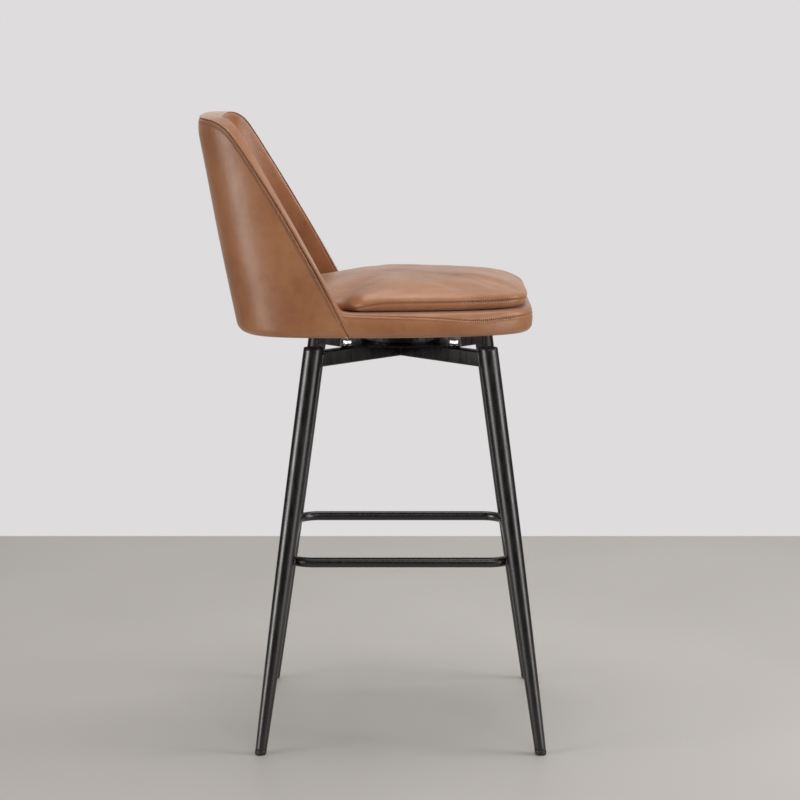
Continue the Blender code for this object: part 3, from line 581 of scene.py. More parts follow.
# ---------------------------------------------------------------- repeats along paths
class RepeatTree:
    """Geometry Nodes that repeat a small piece along a path or at points."""

    def __init__(self, along_path: bool) -> None:
        """Build the tree.

        Args:
            along_path: Space the copies along the path's length, or else put one at each point.
        """
        name = "repeat_along_path" if along_path else "repeat_at_points"
        self.tree = tree = bpy.data.node_groups.new(name, "GeometryNodeTree")
        sockets = tree.interface
        sockets.new_socket("Path", in_out="INPUT", socket_type="NodeSocketGeometry")
        self.keys = {
            label: sockets.new_socket(label, in_out="INPUT", socket_type=kind).identifier
            for label, kind in (
                ("Piece", "NodeSocketObject"), ("Spacing", "NodeSocketFloat"), ("Material", "NodeSocketMaterial")
            )
        }
        sockets.new_socket("Copies", in_out="OUTPUT", socket_type="NodeSocketGeometry")
        given = add_node(tree, "NodeGroupInput")
        piece = add_node(tree, "GeometryNodeObjectInfo", {"Object": given.outputs["Piece"]})
        points, turn = given.outputs["Path"], None
        if along_path:
            curve = add_node(tree, "GeometryNodeMeshToCurve", {"Mesh": given.outputs["Path"]})
            spaced = add_node(
                tree, "GeometryNodeResampleCurve",
                {"Curve": curve.outputs[0], "Length": given.outputs["Spacing"]}, mode="LENGTH",
            )
            points = spaced.outputs[0]
            tangent = add_node(tree, "GeometryNodeInputTangent").outputs[0]
            turn = add_node(tree, "FunctionNodeAlignRotationToVector", {"Vector": tangent}, axis="X").outputs[0]
        copies = add_node(
            tree, "GeometryNodeInstanceOnPoints", {"Points": points, "Instance": piece.outputs["Geometry"]}
        )
        if turn is not None:
            tree.links.new(turn, copies.inputs["Rotation"])
        real = add_node(tree, "GeometryNodeRealizeInstances", {"Geometry": copies.outputs[0]})
        dressed = add_node(
            tree, "GeometryNodeSetMaterial",
            {"Geometry": real.outputs[0], "Material": given.outputs["Material"]},
        )
        add_node(tree, "NodeGroupOutput", {"Copies": dressed.outputs[0]})

    def copies(
        self, paths: Sequence[np.ndarray], pattern: bpy.types.Mesh, material: bpy.types.Material,
        spacing: float = 0.01, closed: bool = False,
    ) -> bpy.types.Mesh:
        """Repeat a pattern and return the result as one plain mesh.

        Args:
            paths: Lines of points to repeat it along, or at.
            pattern: The small mesh, with its length along X.
            material: What the copies are made of.
            spacing: Distance between copies along a path.
            closed: Each path is a loop.

        Returns:
            The copies' mesh.
        """
        points = np.vstack(paths).tolist()
        edges, start = [], 0
        for path in paths:
            edges += [(start + k, start + k + 1) for k in range(len(path) - 1)]
            if closed:
                edges.append((start + len(path) - 1, start))
            start += len(path)
        line = bpy.data.meshes.new("path")
        line.from_pydata(points, edges if self.tree.name.startswith("repeat_along") else [], [])
        carrier = bpy.data.objects.new("path", line)
        sample = bpy.data.objects.new("pattern", pattern)
        for obj in (carrier, sample):
            bpy.context.scene.collection.objects.link(obj)
        modifier = carrier.modifiers.new("repeat", "NODES")
        modifier.node_group = self.tree
        for label, value in (("Piece", sample), ("Spacing", spacing), ("Material", material)):
            modifier[self.keys[label]] = value
        bpy.context.view_layer.update()
        graph = bpy.context.evaluated_depsgraph_get()
        mesh = bpy.data.meshes.new_from_object(carrier.evaluated_get(graph))
        carrier.modifiers.remove(modifier)
        for obj in (carrier, sample):
            bpy.data.objects.remove(obj)
        return mesh


def stitch_pattern(length: float, radius: float) -> bpy.types.Mesh:
    """One sewn stitch: a short thread that dives into the leather at both ends.

    Args:
        length: Its length.
        radius: Its radius.

    Returns:
        Its mesh.
    """
    builder = bmesh.new()
    bmesh.ops.create_uvsphere(builder, u_segments=6, v_segments=6, radius=1.0)
    turn = Matrix.Rotation(math.pi / 2, 4, "Y")
    bmesh.ops.transform(builder, matrix=Matrix.Diagonal((length / 2, radius, radius, 1)) @ turn, verts=builder.verts)
    mesh = bpy.data.meshes.new("stitch")
    builder.to_mesh(mesh)
    builder.free()
    return mesh


# ---------------------------------------------------------------- the seat's shared form
@dataclass
class SeatForm:
    """The seat's outer faces, seams and rims, as functions of the turn round the seat and the height.

    A turn is 0 at the rear, a quarter at the sides and a half at the front. X is counted from the
    swivel's axis.
    """

    rake: float = 0.193                # run per rise of the outer back
    side_taper: float = 0.11           # half width lost per rise
    widest: float = -0.07
    front_taper: float = 0.2
    front_power: float = 6.5
    rear_power: float = 4.0
    roll_height: float = 0.035
    roll_radius: float = 0.09
    edge_radius: float = 0.012
    wing_foot: float = -0.081
    wing_slope: float = 0.473
    wing_bow: float = 0.361
    corner_power: float = 20.0
    band_drop: float = 0.0105
    band_drop_top: float = 0.005
    seam_power: float = 26.0
    wing_thickness: float = 0.026
    back_thickness: float = 0.042
    top_thickness: float = 0.036
    foot_round: float = 0.012          # how softly the wing's rim turns into the tub's
    column_step: float = 2.6 * MM

    def __post_init__(self) -> None:
        """Read the seat's overall sizes from the frame."""
        joint = frame["record"]["behaviour"]["joints"][0]
        cover_low, cover_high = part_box("back_outer_cover")
        self.axis_x = joint["pos_m"][0]
        self.bottom = cover_low.z
        self.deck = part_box("seat_tub")[1].z
        self.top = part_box("border_band")[1].z
        self.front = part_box("seat_tub")[1].x - self.axis_x
        self.half_width = cover_high.y + self.side_taper * self.edge_radius
        past_roll = self.rake * self.roll_radius
        rearmost = self.top - self.roll_height + past_roll
        run = self.rake * (rearmost - self.bottom) - past_roll**2 / (2 * self.roll_radius)
        self.rear = self.axis_x - cover_low.x - run

    def rear_x(self, z: np.ndarray) -> np.ndarray:
        """The outer back's rearmost line, which rolls forward under the top edge."""
        roll = np.maximum(0.0, z - (self.top - self.roll_height))
        return -(self.rear + self.rake * (z - self.bottom)) + roll**2 / (2 * self.roll_radius)

    def outline(self, turn: np.ndarray, z: np.ndarray) -> np.ndarray:
        """Points on the outer face.

        Args:
            turn: Turns in radians.
            z: Heights.

        Returns:
            Points, with X counted from the swivel's axis.
        """
        turn, z = np.broadcast_arrays(np.asarray(turn, float), np.asarray(z, float))
        c, s = np.cos(turn), np.sin(turn)
        power = np.where(c > 0, self.rear_power, self.front_power)
        size = (np.abs(c) ** power + np.abs(s) ** power) ** (-1 / power)
        c, s = c * size, s * size
        half = self.half_width - self.side_taper * (z - self.bottom)
        reach = np.where(c > 0, self.widest - self.rear_x(z), self.front - self.widest)
        taper = np.where(c > 0, 1.0, 1 - self.front_taper * c * c)
        return np.stack([self.widest - reach * c, half * s * taper, z], -1)

    def inset(self, turn: np.ndarray, z: np.ndarray, depth: np.ndarray) -> np.ndarray:
        """Points of the outer face moved level into the seat, placed in the frame.

        Args:
            turn: Turns round the seat, in radians.
            z: Heights.
            depth: How far each point moves inwards.

        Returns:
            The points, in the frame.
        """
        turn, z, depth = np.broadcast_arrays(*(np.asarray(v, float) for v in (turn, z, depth)))
        step = 0.001
        along = self.outline(turn + step, z) - self.outline(turn - step, z)
        inward = np.stack([along[..., 1], -along[..., 0], np.zeros_like(z)], -1)
        inward /= np.linalg.norm(inward, axis=-1)[..., None]
        place = self.outline(turn, z) + inward * depth[..., None]
        place[..., 0] += self.axis_x
        return place

    def line_height(self, turn: np.ndarray) -> np.ndarray:
        """Height at which the wing's slanting line crosses the column at a turn.

        Args:
            turn: Turns round the seat, in radians.

        Returns:
            A height for each turn.
        """
        low = np.full_like(turn, self.bottom - 0.3)
        high = np.full_like(turn, 3 * self.top - 2 * self.bottom)
        for _ in range(44):
            middle = (low + high) / 2
            rise = middle - self.bottom
            line = self.wing_foot - self.wing_slope * rise - self.wing_bow * rise * np.abs(rise)
            behind = self.outline(turn, np.clip(middle, self.bottom, self.top))[..., 0] < line
            low, high = np.where(behind, middle, low), np.where(behind, high, middle)
        return low

    def soft_limit(self, height: np.ndarray, top: float, power: float) -> np.ndarray:
        """The height, turned smoothly into a level top edge: sharper with a higher power.

        Args:
            height: Heights before the limit.
            top: Height of the level edge.
            power: Sharpness.

        Returns:
            The limited heights.
        """
        rise = np.maximum(height - self.bottom, 1e-4)
        limit = top - self.bottom
        return self.bottom + (rise**-power + limit**-power) ** (-1 / power)

    def seam(self, turn: np.ndarray) -> np.ndarray:
        """Height of the outer seam between cover and border band."""
        return self.soft_limit(self.line_height(turn), self.top - self.band_drop_top, self.seam_power)

    def rim(self, turn: np.ndarray) -> np.ndarray:
        """Height of the rim, which flows from the wings into the tub's top edge.

        Args:
            turn: Turns round the seat, in radians.

        Returns:
            A height for each turn.
        """
        wing = self.soft_limit(self.line_height(turn) + self.band_drop, self.top, self.corner_power)
        gap = wing - self.deck
        return self.deck + (gap + np.sqrt(gap**2 + self.foot_round**2)) / 2 - self.foot_round / 8

    def thickness(self, turn: np.ndarray, z: np.ndarray) -> np.ndarray:
        """Thickness of the back and wings, padding included.

        Args:
            turn: Turns round the seat, in radians.
            z: Heights.

        Returns:
            A thickness for each point.
        """
        share = (z - self.bottom) / (self.top - self.bottom)
        middle = self.back_thickness + (self.top_thickness - self.back_thickness) * share
        return self.wing_thickness + (middle - self.wing_thickness) * np.cos(turn) ** 2

    @cached_property
    def half_turns(self) -> np.ndarray:
        """Turns from the rear to the front, evenly spaced along the rim.

        Returns:
            The turns, from 0 to half a turn.
        """
        turn = np.linspace(0, math.pi, 6000)
        path = self.outline(turn, self.rim(turn))
        length = np.concatenate([[0], np.cumsum(np.linalg.norm(np.diff(path, axis=0), axis=1))])
        count = int(length[-1] / self.column_step)
        return np.interp(np.linspace(0, length[-1], count), length, turn)

    @cached_property
    def all_turns(self) -> np.ndarray:
        """Turns all the way round, without the first one again."""
        return np.concatenate([self.half_turns, TAU - self.half_turns[-2:0:-1]])

    def turns_to(self, end: float) -> np.ndarray:
        """Turns from one wing round the rear to the other, ending at a turn."""
        half = np.append(self.half_turns[self.half_turns < end - 1e-4], end)
        return np.concatenate([-half[:0:-1], half])

    def turn_where(self, height: Callable[[np.ndarray], np.ndarray], level: float) -> float:
        """The turn at which a falling line has come down to a level."""
        turn = np.linspace(0, math.pi / 2 + 0.2, 8000)
        return float(turn[np.argmax(height(turn) <= level)])

    def steepness(self, turn: np.ndarray) -> np.ndarray:
        """Length of the rim per level run, at most 4, which stretches upright sections to match.

        Args:
            turn: Turns round the seat, in radians.

        Returns:
            A stretch for each turn.
        """
        step = 0.002
        one = self.outline(turn - step, self.rim(turn - step))
        two = self.outline(turn + step, self.rim(turn + step))
        run = np.linalg.norm((two - one)[..., :2], axis=-1)
        return np.minimum(4.0, np.sqrt(1 + ((two - one)[..., 2] / run) ** 2))


# ---------------------------------------------------------------- upholstery
def press_seam(
    depth: np.ndarray, z: np.ndarray, at: np.ndarray, deep: np.ndarray, reach: float
) -> tuple[np.ndarray, np.ndarray, np.ndarray]:
    """Press a sewn groove into sections, with a soft roll on both sides of it.

    Args:
        depth: Depths of the sections, columns by rows.
        z: Their heights, which rise along the outer face.
        at: Height of the seam in each column.
        deep: Depth of the groove in each column.
        reach: Half width of the groove.

    Returns:
        The new depths and heights, and each point's distance from the seam.
    """
    run, rise = np.gradient(depth, axis=1), np.gradient(z, axis=1)
    length = np.maximum(np.hypot(run, rise), 1e-7)
    step = np.hypot(np.diff(depth, axis=1), np.diff(z, axis=1))
    arc = np.concatenate([np.zeros((len(z), 1)), np.cumsum(step, 1)], 1)
    first = np.argmax(z >= at[:, None], axis=1)
    away = np.abs(arc - arc[np.arange(len(z)), first][:, None])
    groove = np.exp(-((away / reach) ** 2)) - 0.5 * np.exp(-(((away - 2.8 * reach) / (1.5 * reach)) ** 2))
    groove = groove * deep[:, None]
    return depth + groove * rise / length, z - groove * run / length, away


@dataclass
class BorderStrip:
    """One long strip of leather: the tub's boxing, which runs up the wings as their padded border."""

    form: SeatForm
    lip: float = 0.0257                # width of the tub's edge seen from below
    crest_width: float = 0.0085
    crest_drop: float = 0.008
    wing_crest: float = 0.0048
    inner_depth: float = 0.036
    groove_depth: float = 0.85 * MM
    groove_reach: float = 0.9 * MM
    front_lean: float = 1.8 * MM
    drop_at: tuple = (-0.11, -0.05, 0.0, 0.06, 0.10, 0.135, 0.17, 0.22)
    drops: tuple = (0.0022, 0.0042, 0.006, 0.0089, 0.0126, 0.0138, 0.0118, 0.0105)
    gather_span: tuple[float, float] = (0.088, 0.172)

    def drop(self, turn: np.ndarray) -> np.ndarray:
        """How far the sewn seam lies below the tub's top edge: more towards the front.

        Args:
            turn: Turns round the seat, in radians.

        Returns:
            A drop for each turn.
        """
        x = self.form.outline(turn, self.form.deck)[..., 0]
        knots = smooth_line(list(zip(self.drop_at, self.drops)), 60)
        return np.interp(x, knots[:, 0], knots[:, 1])

    def gathers(self, turn: np.ndarray) -> np.ndarray:
        """Strength of the tucks, which sit at the two front corners only.

        Args:
            turn: Turns round the seat, in radians.

        Returns:
            0 to 1 for each turn.
        """
        x = self.form.outline(turn, self.form.deck)[..., 0]
        low, high = self.gather_span
        return smooth_step(x, low, low + 0.02) * (1 - smooth_step(x, high, high + 0.02))

    def tub_share(self, turn: np.ndarray) -> np.ndarray:
        """1 along the tub, 0 along the wings, blended at their feet."""
        return 1 - smooth_step(self.form.rim(turn) - self.form.deck, 0.004, 0.020)

    def sections(self, turn: np.ndarray) -> tuple[np.ndarray, np.ndarray, np.ndarray]:
        """Depth and height of every section, from the hidden lower edge over the rim and inwards.

        Args:
            turn: Turns of the columns.

        Returns:
            Depths, heights, and distances from the sewn seam, columns by rows.
        """
        form = self.form
        rim, stretch = form.rim(turn)[:, None], form.steepness(turn)[:, None]
        seam = np.maximum(form.seam(turn), form.bottom)[:, None]
        ahead = seam < form.bottom + 0.4 * MM

        roll = np.linspace(0, math.pi / 2, 7)[None]
        radius = form.edge_radius
        tub_depth = np.concatenate([[[self.lip, 0.018]], radius * (1 - np.sin(roll))], 1)
        tub_z = form.bottom + np.concatenate([[[0.0, 0.0]], radius * (1 - np.cos(roll))], 1)
        rise = np.array([[0, 0, 0, 0.4, 0.9, 1.6, 2.4, 3.3, 4.2]]) * MM
        height = np.minimum(stretch * rise, 0.4 * (rim - seam) * rise / rise.max())
        curl = np.array([[12, 6, 3, 1.9, 1.1, 0.6, 0.25, 0.05, 0]]) * MM
        wing_z = seam + height
        under = np.minimum(radius, np.maximum(wing_z - form.bottom, 0))
        wing_depth = curl + radius - np.sqrt(radius**2 - (radius - under) ** 2)
        low_depth = np.where(ahead, tub_depth, wing_depth)
        low_z = np.where(ahead, tub_z, wing_z)

        tub = self.tub_share(turn)[:, None]
        crest_rise = self.wing_crest * stretch + (self.crest_drop - self.wing_crest * stretch) * tub
        crest_rise = np.minimum(crest_rise, 0.55 * (rim - low_z[:, -1:]))
        wide = form.thickness(turn[:, None], rim)
        crest_start = rim - crest_rise
        share = np.linspace(0, 1, 28)[None, 1:-1]
        face_z = low_z[:, -1:] + (crest_start - low_z[:, -1:]) * share
        face_depth = low_depth[:, -1:] * (1 - share) - 0.8 * MM * tub * np.sin(math.pi * share)

        turn_over = np.linspace(0, math.pi / 2, 14)[None]
        peak = 0.55 * wide + (self.crest_width - 0.55 * wide) * tub
        crest_depth = peak * (1 - np.cos(turn_over))
        crest_z = crest_start + crest_rise * np.sin(turn_over)
        fall = np.linspace(0, 1, 9)[None, 1:]
        inner = wide + (self.inner_depth - wide) * tub
        inner_depth = peak + (inner - peak) * fall
        drop = crest_rise * 0.55 * (1 - tub) + 0.0015 * tub
        bead = 0.5 * MM * stretch * (1 - tub) * np.array([[0, 0, 0, 0, 0.2, 1.0, 0.9, 0.0]])
        inner_z = rim - drop * fall**2.6 + bead
        tuck_depth = np.concatenate([inner - 0.6 * MM, inner - 2.5 * MM, inner - 2.5 * MM], 1)
        tuck_depth = tuck_depth + tub * np.array([[4, 12, 14]]) * MM
        tuck_z = rim - drop - stretch * np.array([[1.0, 2.2, 4.0]]) * MM * (1 - tub)
        tuck_z = tuck_z - tub * np.array([[1, 4, 9]]) * MM
        depth = np.concatenate([low_depth, face_depth, crest_depth, inner_depth, tuck_depth], 1)
        z = np.concatenate([low_z, face_z, crest_z, inner_z, tuck_z], 1)
        x = form.outline(turn, form.deck)[:, 0][:, None]
        lean = smooth_step(x, 0.12, form.front) * np.clip((z - form.bottom) / (form.deck - form.bottom), 0, 1)
        depth = depth + self.front_lean * lean
        deep = self.groove_depth * self.tub_share(turn)
        return press_seam(depth, z, form.rim(turn) - self.drop(turn), deep, self.groove_reach)

    def seam_path(self, turn: np.ndarray, below: float = 0.0) -> np.ndarray:
        """The sewn seam along the tub, or a line a little below it.

        Args:
            turn: Turns round the seat, in radians.
            below: How far below the seam.

        Returns:
            Points of the line.
        """
        form = self.form
        z = form.rim(turn) - self.drop(turn) - below
        up = np.clip((z - (form.rim(turn) - self.crest_drop)) / self.crest_drop, 0, 1)
        depth = self.crest_width * (1 - np.sqrt(1 - up**2))
        x = form.outline(turn, form.deck)[:, 0]
        lean = smooth_step(x, 0.12, form.front) * (z - form.bottom) / (form.deck - form.bottom)
        return form.inset(turn, z, depth - 0.5 * MM + self.front_lean * lean)

    def build(self, maker: PieceMaker) -> None:
        """Skin the strip, with the attributes that place its gathers and its painted seam shade.

        Args:
            maker: Makes and dresses the pieces.
        """
        form = self.form
        turn = form.all_turns
        depth, z, away = self.sections(turn)
        points = form.inset(turn[:, None], z, depth)
        points += self.unevenness(points)
        path = self.seam_path(turn)
        run = np.concatenate([[0], np.cumsum(np.linalg.norm(np.diff(path, axis=0), axis=1))])
        gather = self.gathers(turn)[:, None] * np.exp(-away / (2.3 * MM))
        # Painted shade: sewn darkens the tub's seam groove, less where it is gathered, and the wing's seam groove along
        # the border's lower curl.
        sewn = (0.6 - 0.3 * self.gathers(turn)) * self.tub_share(turn)
        sewn = sewn[:, None] * np.exp(-((away / (0.8 * MM)) ** 2))
        wing_seam_shade = np.exp(-(np.arange(z.shape[1])[None] - 2.0) ** 2 / 2) * (1 - self.tub_share(turn)[:, None])
        values = {
            "seam_run": np.broadcast_to(run[:, None], z.shape), "gather": gather, "sewn": np.maximum(sewn, wing_seam_shade)
        }
        mesh = maker.grid(points, values=values)
        strip = maker.piece("border_strip", mesh, maker.finishes.leather, Body.SEAT, "border_band")

    def unevenness(self, points: np.ndarray) -> np.ndarray:
        """Small level shifts that keep the padding from looking machined.

        Args:
            points: Points of the mesh.

        Returns:
            A shift for each point.
        """
        shift = np.zeros_like(points)
        shift[..., 0] = 0.25 * MM * ripple(points, 0.05, 3)
        shift[..., 1] = 0.25 * MM * ripple(points, 0.045, 4)
        return shift


@dataclass
class OuterCover:
    """The leather that wraps the outside of the back and wings and rolls under the seat."""

    form: SeatForm
    strip: BorderStrip
    puff: float = 1.6 * MM
    wall: float = 0.008

    def sections(self, turn: np.ndarray) -> tuple[np.ndarray, np.ndarray]:
        """Depth and height of every section, from under the seat up to the outer seam.

        Args:
            turn: Turns round the seat, in radians.

        Returns:
            Depths and heights, columns by rows.
        """
        form = self.form
        top = form.seam(turn)[:, None]
        stretch = form.steepness(turn)[:, None]
        radius = np.minimum(form.edge_radius, 0.6 * (top - form.bottom))
        roll = np.linspace(0, math.pi / 2, 7)[None]
        low_depth = np.concatenate([np.full_like(top, self.strip.lip), np.full_like(top, 0.018)], 1)
        low_depth = np.concatenate([low_depth, radius * (1 - np.sin(roll))], 1)
        low_z = np.concatenate([top * 0 + form.bottom] * 2 + [form.bottom + radius * (1 - np.cos(roll))], 1)
        back = np.array([[9.5, 8.6, 7.9, 7.2, 6.5, 5.8, 5.2, 4.6, 4.0, 3.3, 2.4, 1.6, 0.9, 0.4, 0.1]]) * MM
        back = np.minimum(back * stretch, 0.5 * (top - low_z[:, -1:]) * back / back.max())
        curl_depth = np.array([[0, 0, 0.2, 0.5, 0.2, 0.0, 0.2, 0.5, 0.2, 0.0, 0.25, 0.6, 1.1, 1.9, 3.0]]) * MM
        curl_z = top - back
        share = np.linspace(0, 1, 40)[None, 1:-1]
        face_z = low_z[:, -1:] + (curl_z[:, :1] - low_z[:, -1:]) * share
        tall = smooth_step(top - form.bottom, 0.02, 0.2)
        face_depth = -self.puff * tall * np.sin(math.pi * share) ** 0.8
        hidden_depth = np.full_like(top, self.wall)
        depth = np.concatenate([low_depth, face_depth, curl_depth + 0 * top, hidden_depth, hidden_depth], 1)
        hidden_z = form.bottom + np.minimum(0.02, 0.9 * (top - form.bottom))
        return depth, np.concatenate([low_z, face_z, curl_z, top - 0.1 * MM, hidden_z], 1)

    def build(self, maker: PieceMaker) -> None:
        """Skin the cover from wing to wing.

        Args:
            maker: Makes and dresses the pieces.
        """
        form = self.form
        turn = form.turns_to(form.turn_where(form.seam, form.bottom + 2 * MM))
        depth, z = self.sections(turn)
        points = form.inset(turn[:, None], z, depth)
        share = smooth_step(z, form.bottom + 0.02, form.bottom + 0.08)
        points[..., 0] += 0.5 * MM * share * ripple(points, 0.09, 11)
        points[..., 1] += 0.5 * MM * share * ripple(points, 0.08, 12)
        # Painted shade: sewn darkens the seam's groove and the leather under the two stitch rows.
        sewn = np.zeros(z.shape[1])
        sewn[-17:-2] = [0, 0.1, 0.5, 1.0, 0.5, 0.1, 0.5, 1.0, 0.5, 0.1, 0, 0, 0.1, 0.5, 0.9]
        values = {"sewn": np.broadcast_to(0.75 * sewn[None], z.shape)}
        mesh = maker.grid(points, wrap_columns=False, values=values)
        cover = maker.piece("outer_cover", mesh, maker.finishes.leather, Body.SEAT, "back_outer_cover", "back_board")


@dataclass
class InnerPad:
    """The padded inside of the back and wings, tucked under the border and behind the cushion."""

    form: SeatForm
    start: float = 0.0142              # depth of its hidden face
    puff: float = 2.4 * MM

    def build(self, maker: PieceMaker) -> None:
        """Skin the padding from wing to wing.

        Args:
            maker: Makes and dresses the pieces.
        """
        form = self.form
        turn = form.turns_to(form.turn_where(form.rim, form.deck + 7 * MM))
        rim, stretch = form.rim(turn)[:, None], form.steepness(turn)[:, None]
        low = form.deck - 4 * MM
        top = rim - 2.2 * MM * stretch
        share = np.linspace(0, 1, 46)[None]
        z = low + (top - low) * (1 - (1 - share) ** 1.25)
        wide = form.thickness(turn[:, None], z)
        tall = smooth_step(top - low, 0.02, 0.16)
        swell = self.puff * tall * (np.sin(math.pi * share) ** 0.7 - 0.12)
        edge = np.exp(-(top - z) / (2.2 * MM * stretch))
        depth = wide + swell - 1.3 * MM * edge
        hidden = np.full_like(top, self.start)
        depth = np.concatenate([hidden, depth, hidden], 1)
        z = np.concatenate([top * 0 + low, z, top], 1)
        points = form.inset(turn[:, None], z, depth)
        points[..., 0] += 0.6 * MM * ripple(points, 0.08, 21)
        mesh = maker.grid(points, wrap_columns=False)
        pad = maker.piece("inner_pad", mesh, maker.finishes.leather, Body.SEAT, "back_inner_pad")


@dataclass
class TubDeck:
    """The leather-covered top of the tub, under and behind the cushion."""

    form: SeatForm
    depth: float = 0.030
    height: float = 0.012

    def build(self, maker: PieceMaker) -> None:
        """Loft a thin slab with a soft edge.

        Args:
            maker: Makes and dresses the pieces.
        """
        form = self.form
        turn = np.arange(180) * TAU / 180
        levels = smooth_line(
            [(0.5, 0), (0.06, 0), (0.0, 0.25), (0.0, 0.6), (0.05, 0.95), (0.4, 1.0), (0.8, 1.0)], 22
        )
        edge = form.inset(turn, form.deck, self.depth)
        middle = edge.mean(0)
        rows = []
        for share, rise in levels:
            ring = edge + (middle - edge) * share
            ring[:, 2] = form.deck - 1.5 * MM - self.height * (1 - rise)
            rows.append(ring)
        mesh = maker.grid(np.stack(rows, 1), wrap_rows=False)
        deck = maker.piece("tub_deck", mesh, maker.finishes.leather, Body.SEAT, "seat_tub")


@dataclass
class SeatCushion:
    """The domed cushion: a soft shoulder, a sewn lower seam and a roll under it."""

    form: SeatForm
    inset: float = 0.0095
    clearance: float = 0.004
    seam_rise: float = 0.0145
    seam_fall: float = 0.0125          # of the seam towards the back
    crown: float = 0.0437              # of the dome over the tub's deck
    crown_fall: float = 0.0165         # of the dome towards the back
    bead: float = 0.55 * MM
    columns: int = 440
    swell: float = 0.004               # limit of the cloth's movement
    side_profile: tuple = (
        (1.0, 0.0), (1.006, 0.09), (1.001, 0.22), (0.984, 0.36), (0.952, 0.485), (0.905, 0.585),
        (0.85, 0.66), (0.76, 0.745), (0.61, 0.835), (0.455, 0.91), (0.25, 0.97), (0.0, 1.0),
    )
    front_profile: tuple = (
        (1.0, 0.0), (1.004, 0.07), (0.999, 0.17), (0.985, 0.29), (0.968, 0.39), (0.94, 0.53),
        (0.90, 0.68), (0.85, 0.80), (0.79, 0.88), (0.7, 0.935), (0.5, 0.98), (0.0, 1.0),
    )

    def depth(self, turn: np.ndarray) -> np.ndarray:
        """How far the seam lies inside the seat's outline: more between the wings.

        Args:
            turn: Turns round the seat, in radians.

        Returns:
            A depth for each turn.
        """
        form = self.form
        x = form.outline(turn, form.deck)[..., 0]
        foot = form.wing_foot - form.wing_slope * (form.deck - form.bottom)
        share = 1 - smooth_step(x, foot + 0.004, foot + 0.044)
        depth = self.inset + (form.wing_thickness + self.clearance - self.inset) * share
        back = np.maximum(np.cos(turn), 0) ** 2
        return depth + (form.back_thickness - form.wing_thickness) * back * share

    def seam_path(self) -> np.ndarray:
        """The sewn seam, evenly spaced.

        Returns:
            Points of the line.
        """
        form = self.form
        turn = np.linspace(0, TAU, 4001)
        x = form.outline(turn, form.deck)[..., 0]
        z = form.deck + self.seam_rise - self.seam_fall * (1 - smooth_step(x, -0.10, -0.015))
        path = form.inset(turn, z, self.depth(turn))
        length = np.concatenate([[0], np.cumsum(np.linalg.norm(np.diff(path, axis=0), axis=1))])
        spread = np.linspace(0, length[-1], self.columns + 1)[:-1]
        return np.stack([np.interp(spread, length, path[:, k]) for k in range(3)], -1)

    def build(self, maker: PieceMaker) -> None:
        """Loft the cushion from its underside over the seam to the crown.

        Args:
            maker: Makes and dresses the pieces.
        """
        form, path = self.form, self.seam_path()
        middle = path.mean(0)
        low = form.deck + 0.3 * MM
        under = smooth_line(
            [(0.0, 0.0), (0.55, 0.0), (0.88, 0.0), (0.952, 0.03), (0.98, 0.20), (0.995, 0.55), (0.9995, 0.88)], 26
        )
        front = smooth_step(path[:, 0] - form.axis_x, 0.08, 0.19) * (1 - smooth_step(np.abs(path[:, 1]), 0.09, 0.16))
        front = front[:, None]
        side, nose = smooth_line(self.side_profile, 70), smooth_line(self.front_profile, 70)
        upper_share = side[None, :, 0] * (1 - front) + nose[None, :, 0] * front
        upper_rise = side[None, :, 1] * (1 - front) + nose[None, :, 1] * front
        share = np.concatenate([np.broadcast_to(under[None, :, 0], (len(path), 26)), upper_share], 1)
        from_seam = np.arange(share.shape[1]) - 25.6
        share = share * (1 - 0.006 * np.exp(-(from_seam**2) / 0.8)[None])
        arm = path - middle
        reach = np.where(arm > 0, arm.max(0), -arm.min(0))[:, :2]
        angle = np.arctan2(arm[:, 1] / reach[:, 1], arm[:, 0] / reach[:, 0])
        oval = np.stack([np.cos(angle) * reach[:, 0], np.sin(angle) * reach[:, 1], 0 * angle], -1)
        square = smooth_step(share, 0.30, 0.99)[..., None]
        points = middle + (arm[:, None] * square + oval[:, None] * (1 - square)) * share[..., None]
        seam_z = path[:, 2:3]
        fall = self.crown_fall * (1 - smooth_step(points[:, 26:, 0] - form.axis_x, -0.16, -0.045))
        top = form.deck + self.crown - fall
        lower_z = low + (seam_z - low) * under[None, :, 1]
        upper_z = seam_z + (top - seam_z) * upper_rise
        points[..., 2] = z = np.concatenate([lower_z, upper_z], 1)
        soft = smooth_step(z, form.deck + 0.016, form.deck + 0.03) * smooth_step(share, 0.02, 0.3)
        points[..., 2] += soft * (0.3 * MM * ripple(points, 0.09, 31) + 0.12 * MM * ripple(points, 0.03, 32))
        run = np.concatenate([[0], np.cumsum(np.linalg.norm(np.diff(path, axis=0), axis=1))])
        x = path[:, 0] - form.axis_x
        window = smooth_step(x, 0.085, 0.115) * (1 - smooth_step(x, 0.165, 0.185))
        above = np.exp(-np.maximum(z - seam_z, 0) / (7 * MM)) * np.exp(-np.maximum(seam_z - z, 0) / (2.5 * MM))
        values = {
            "seam_run": np.broadcast_to(run[:, None], z.shape),
            "gather": window[:, None] * above * (share > 0.85),
            # Painted shade: sewn darkens the seam line, less where it is gathered.
            "sewn": np.exp(-(from_seam**2) / 0.5)[None] * (0.8 - 0.5 * window[:, None]) + 0 * z,
        }
        mesh = maker.grid(points, wrap_rows=False, values=values)
        swell_by_cloth(mesh, points[..., 2].min() + 2 * MM, path, self.swell)
        cushion = maker.piece("cushion", mesh, maker.finishes.leather, Body.SEAT, "seat_cushion")
        cord = path + np.array([0, 0, 0.9 * MM])
        cord[:, :2] -= (path - middle)[:, :2] * 0.002
        welt = maker.tube(cord, self.bead, 8, closed=True)
        maker.piece("cushion_welt", welt, maker.finishes.leather, Body.SEAT)


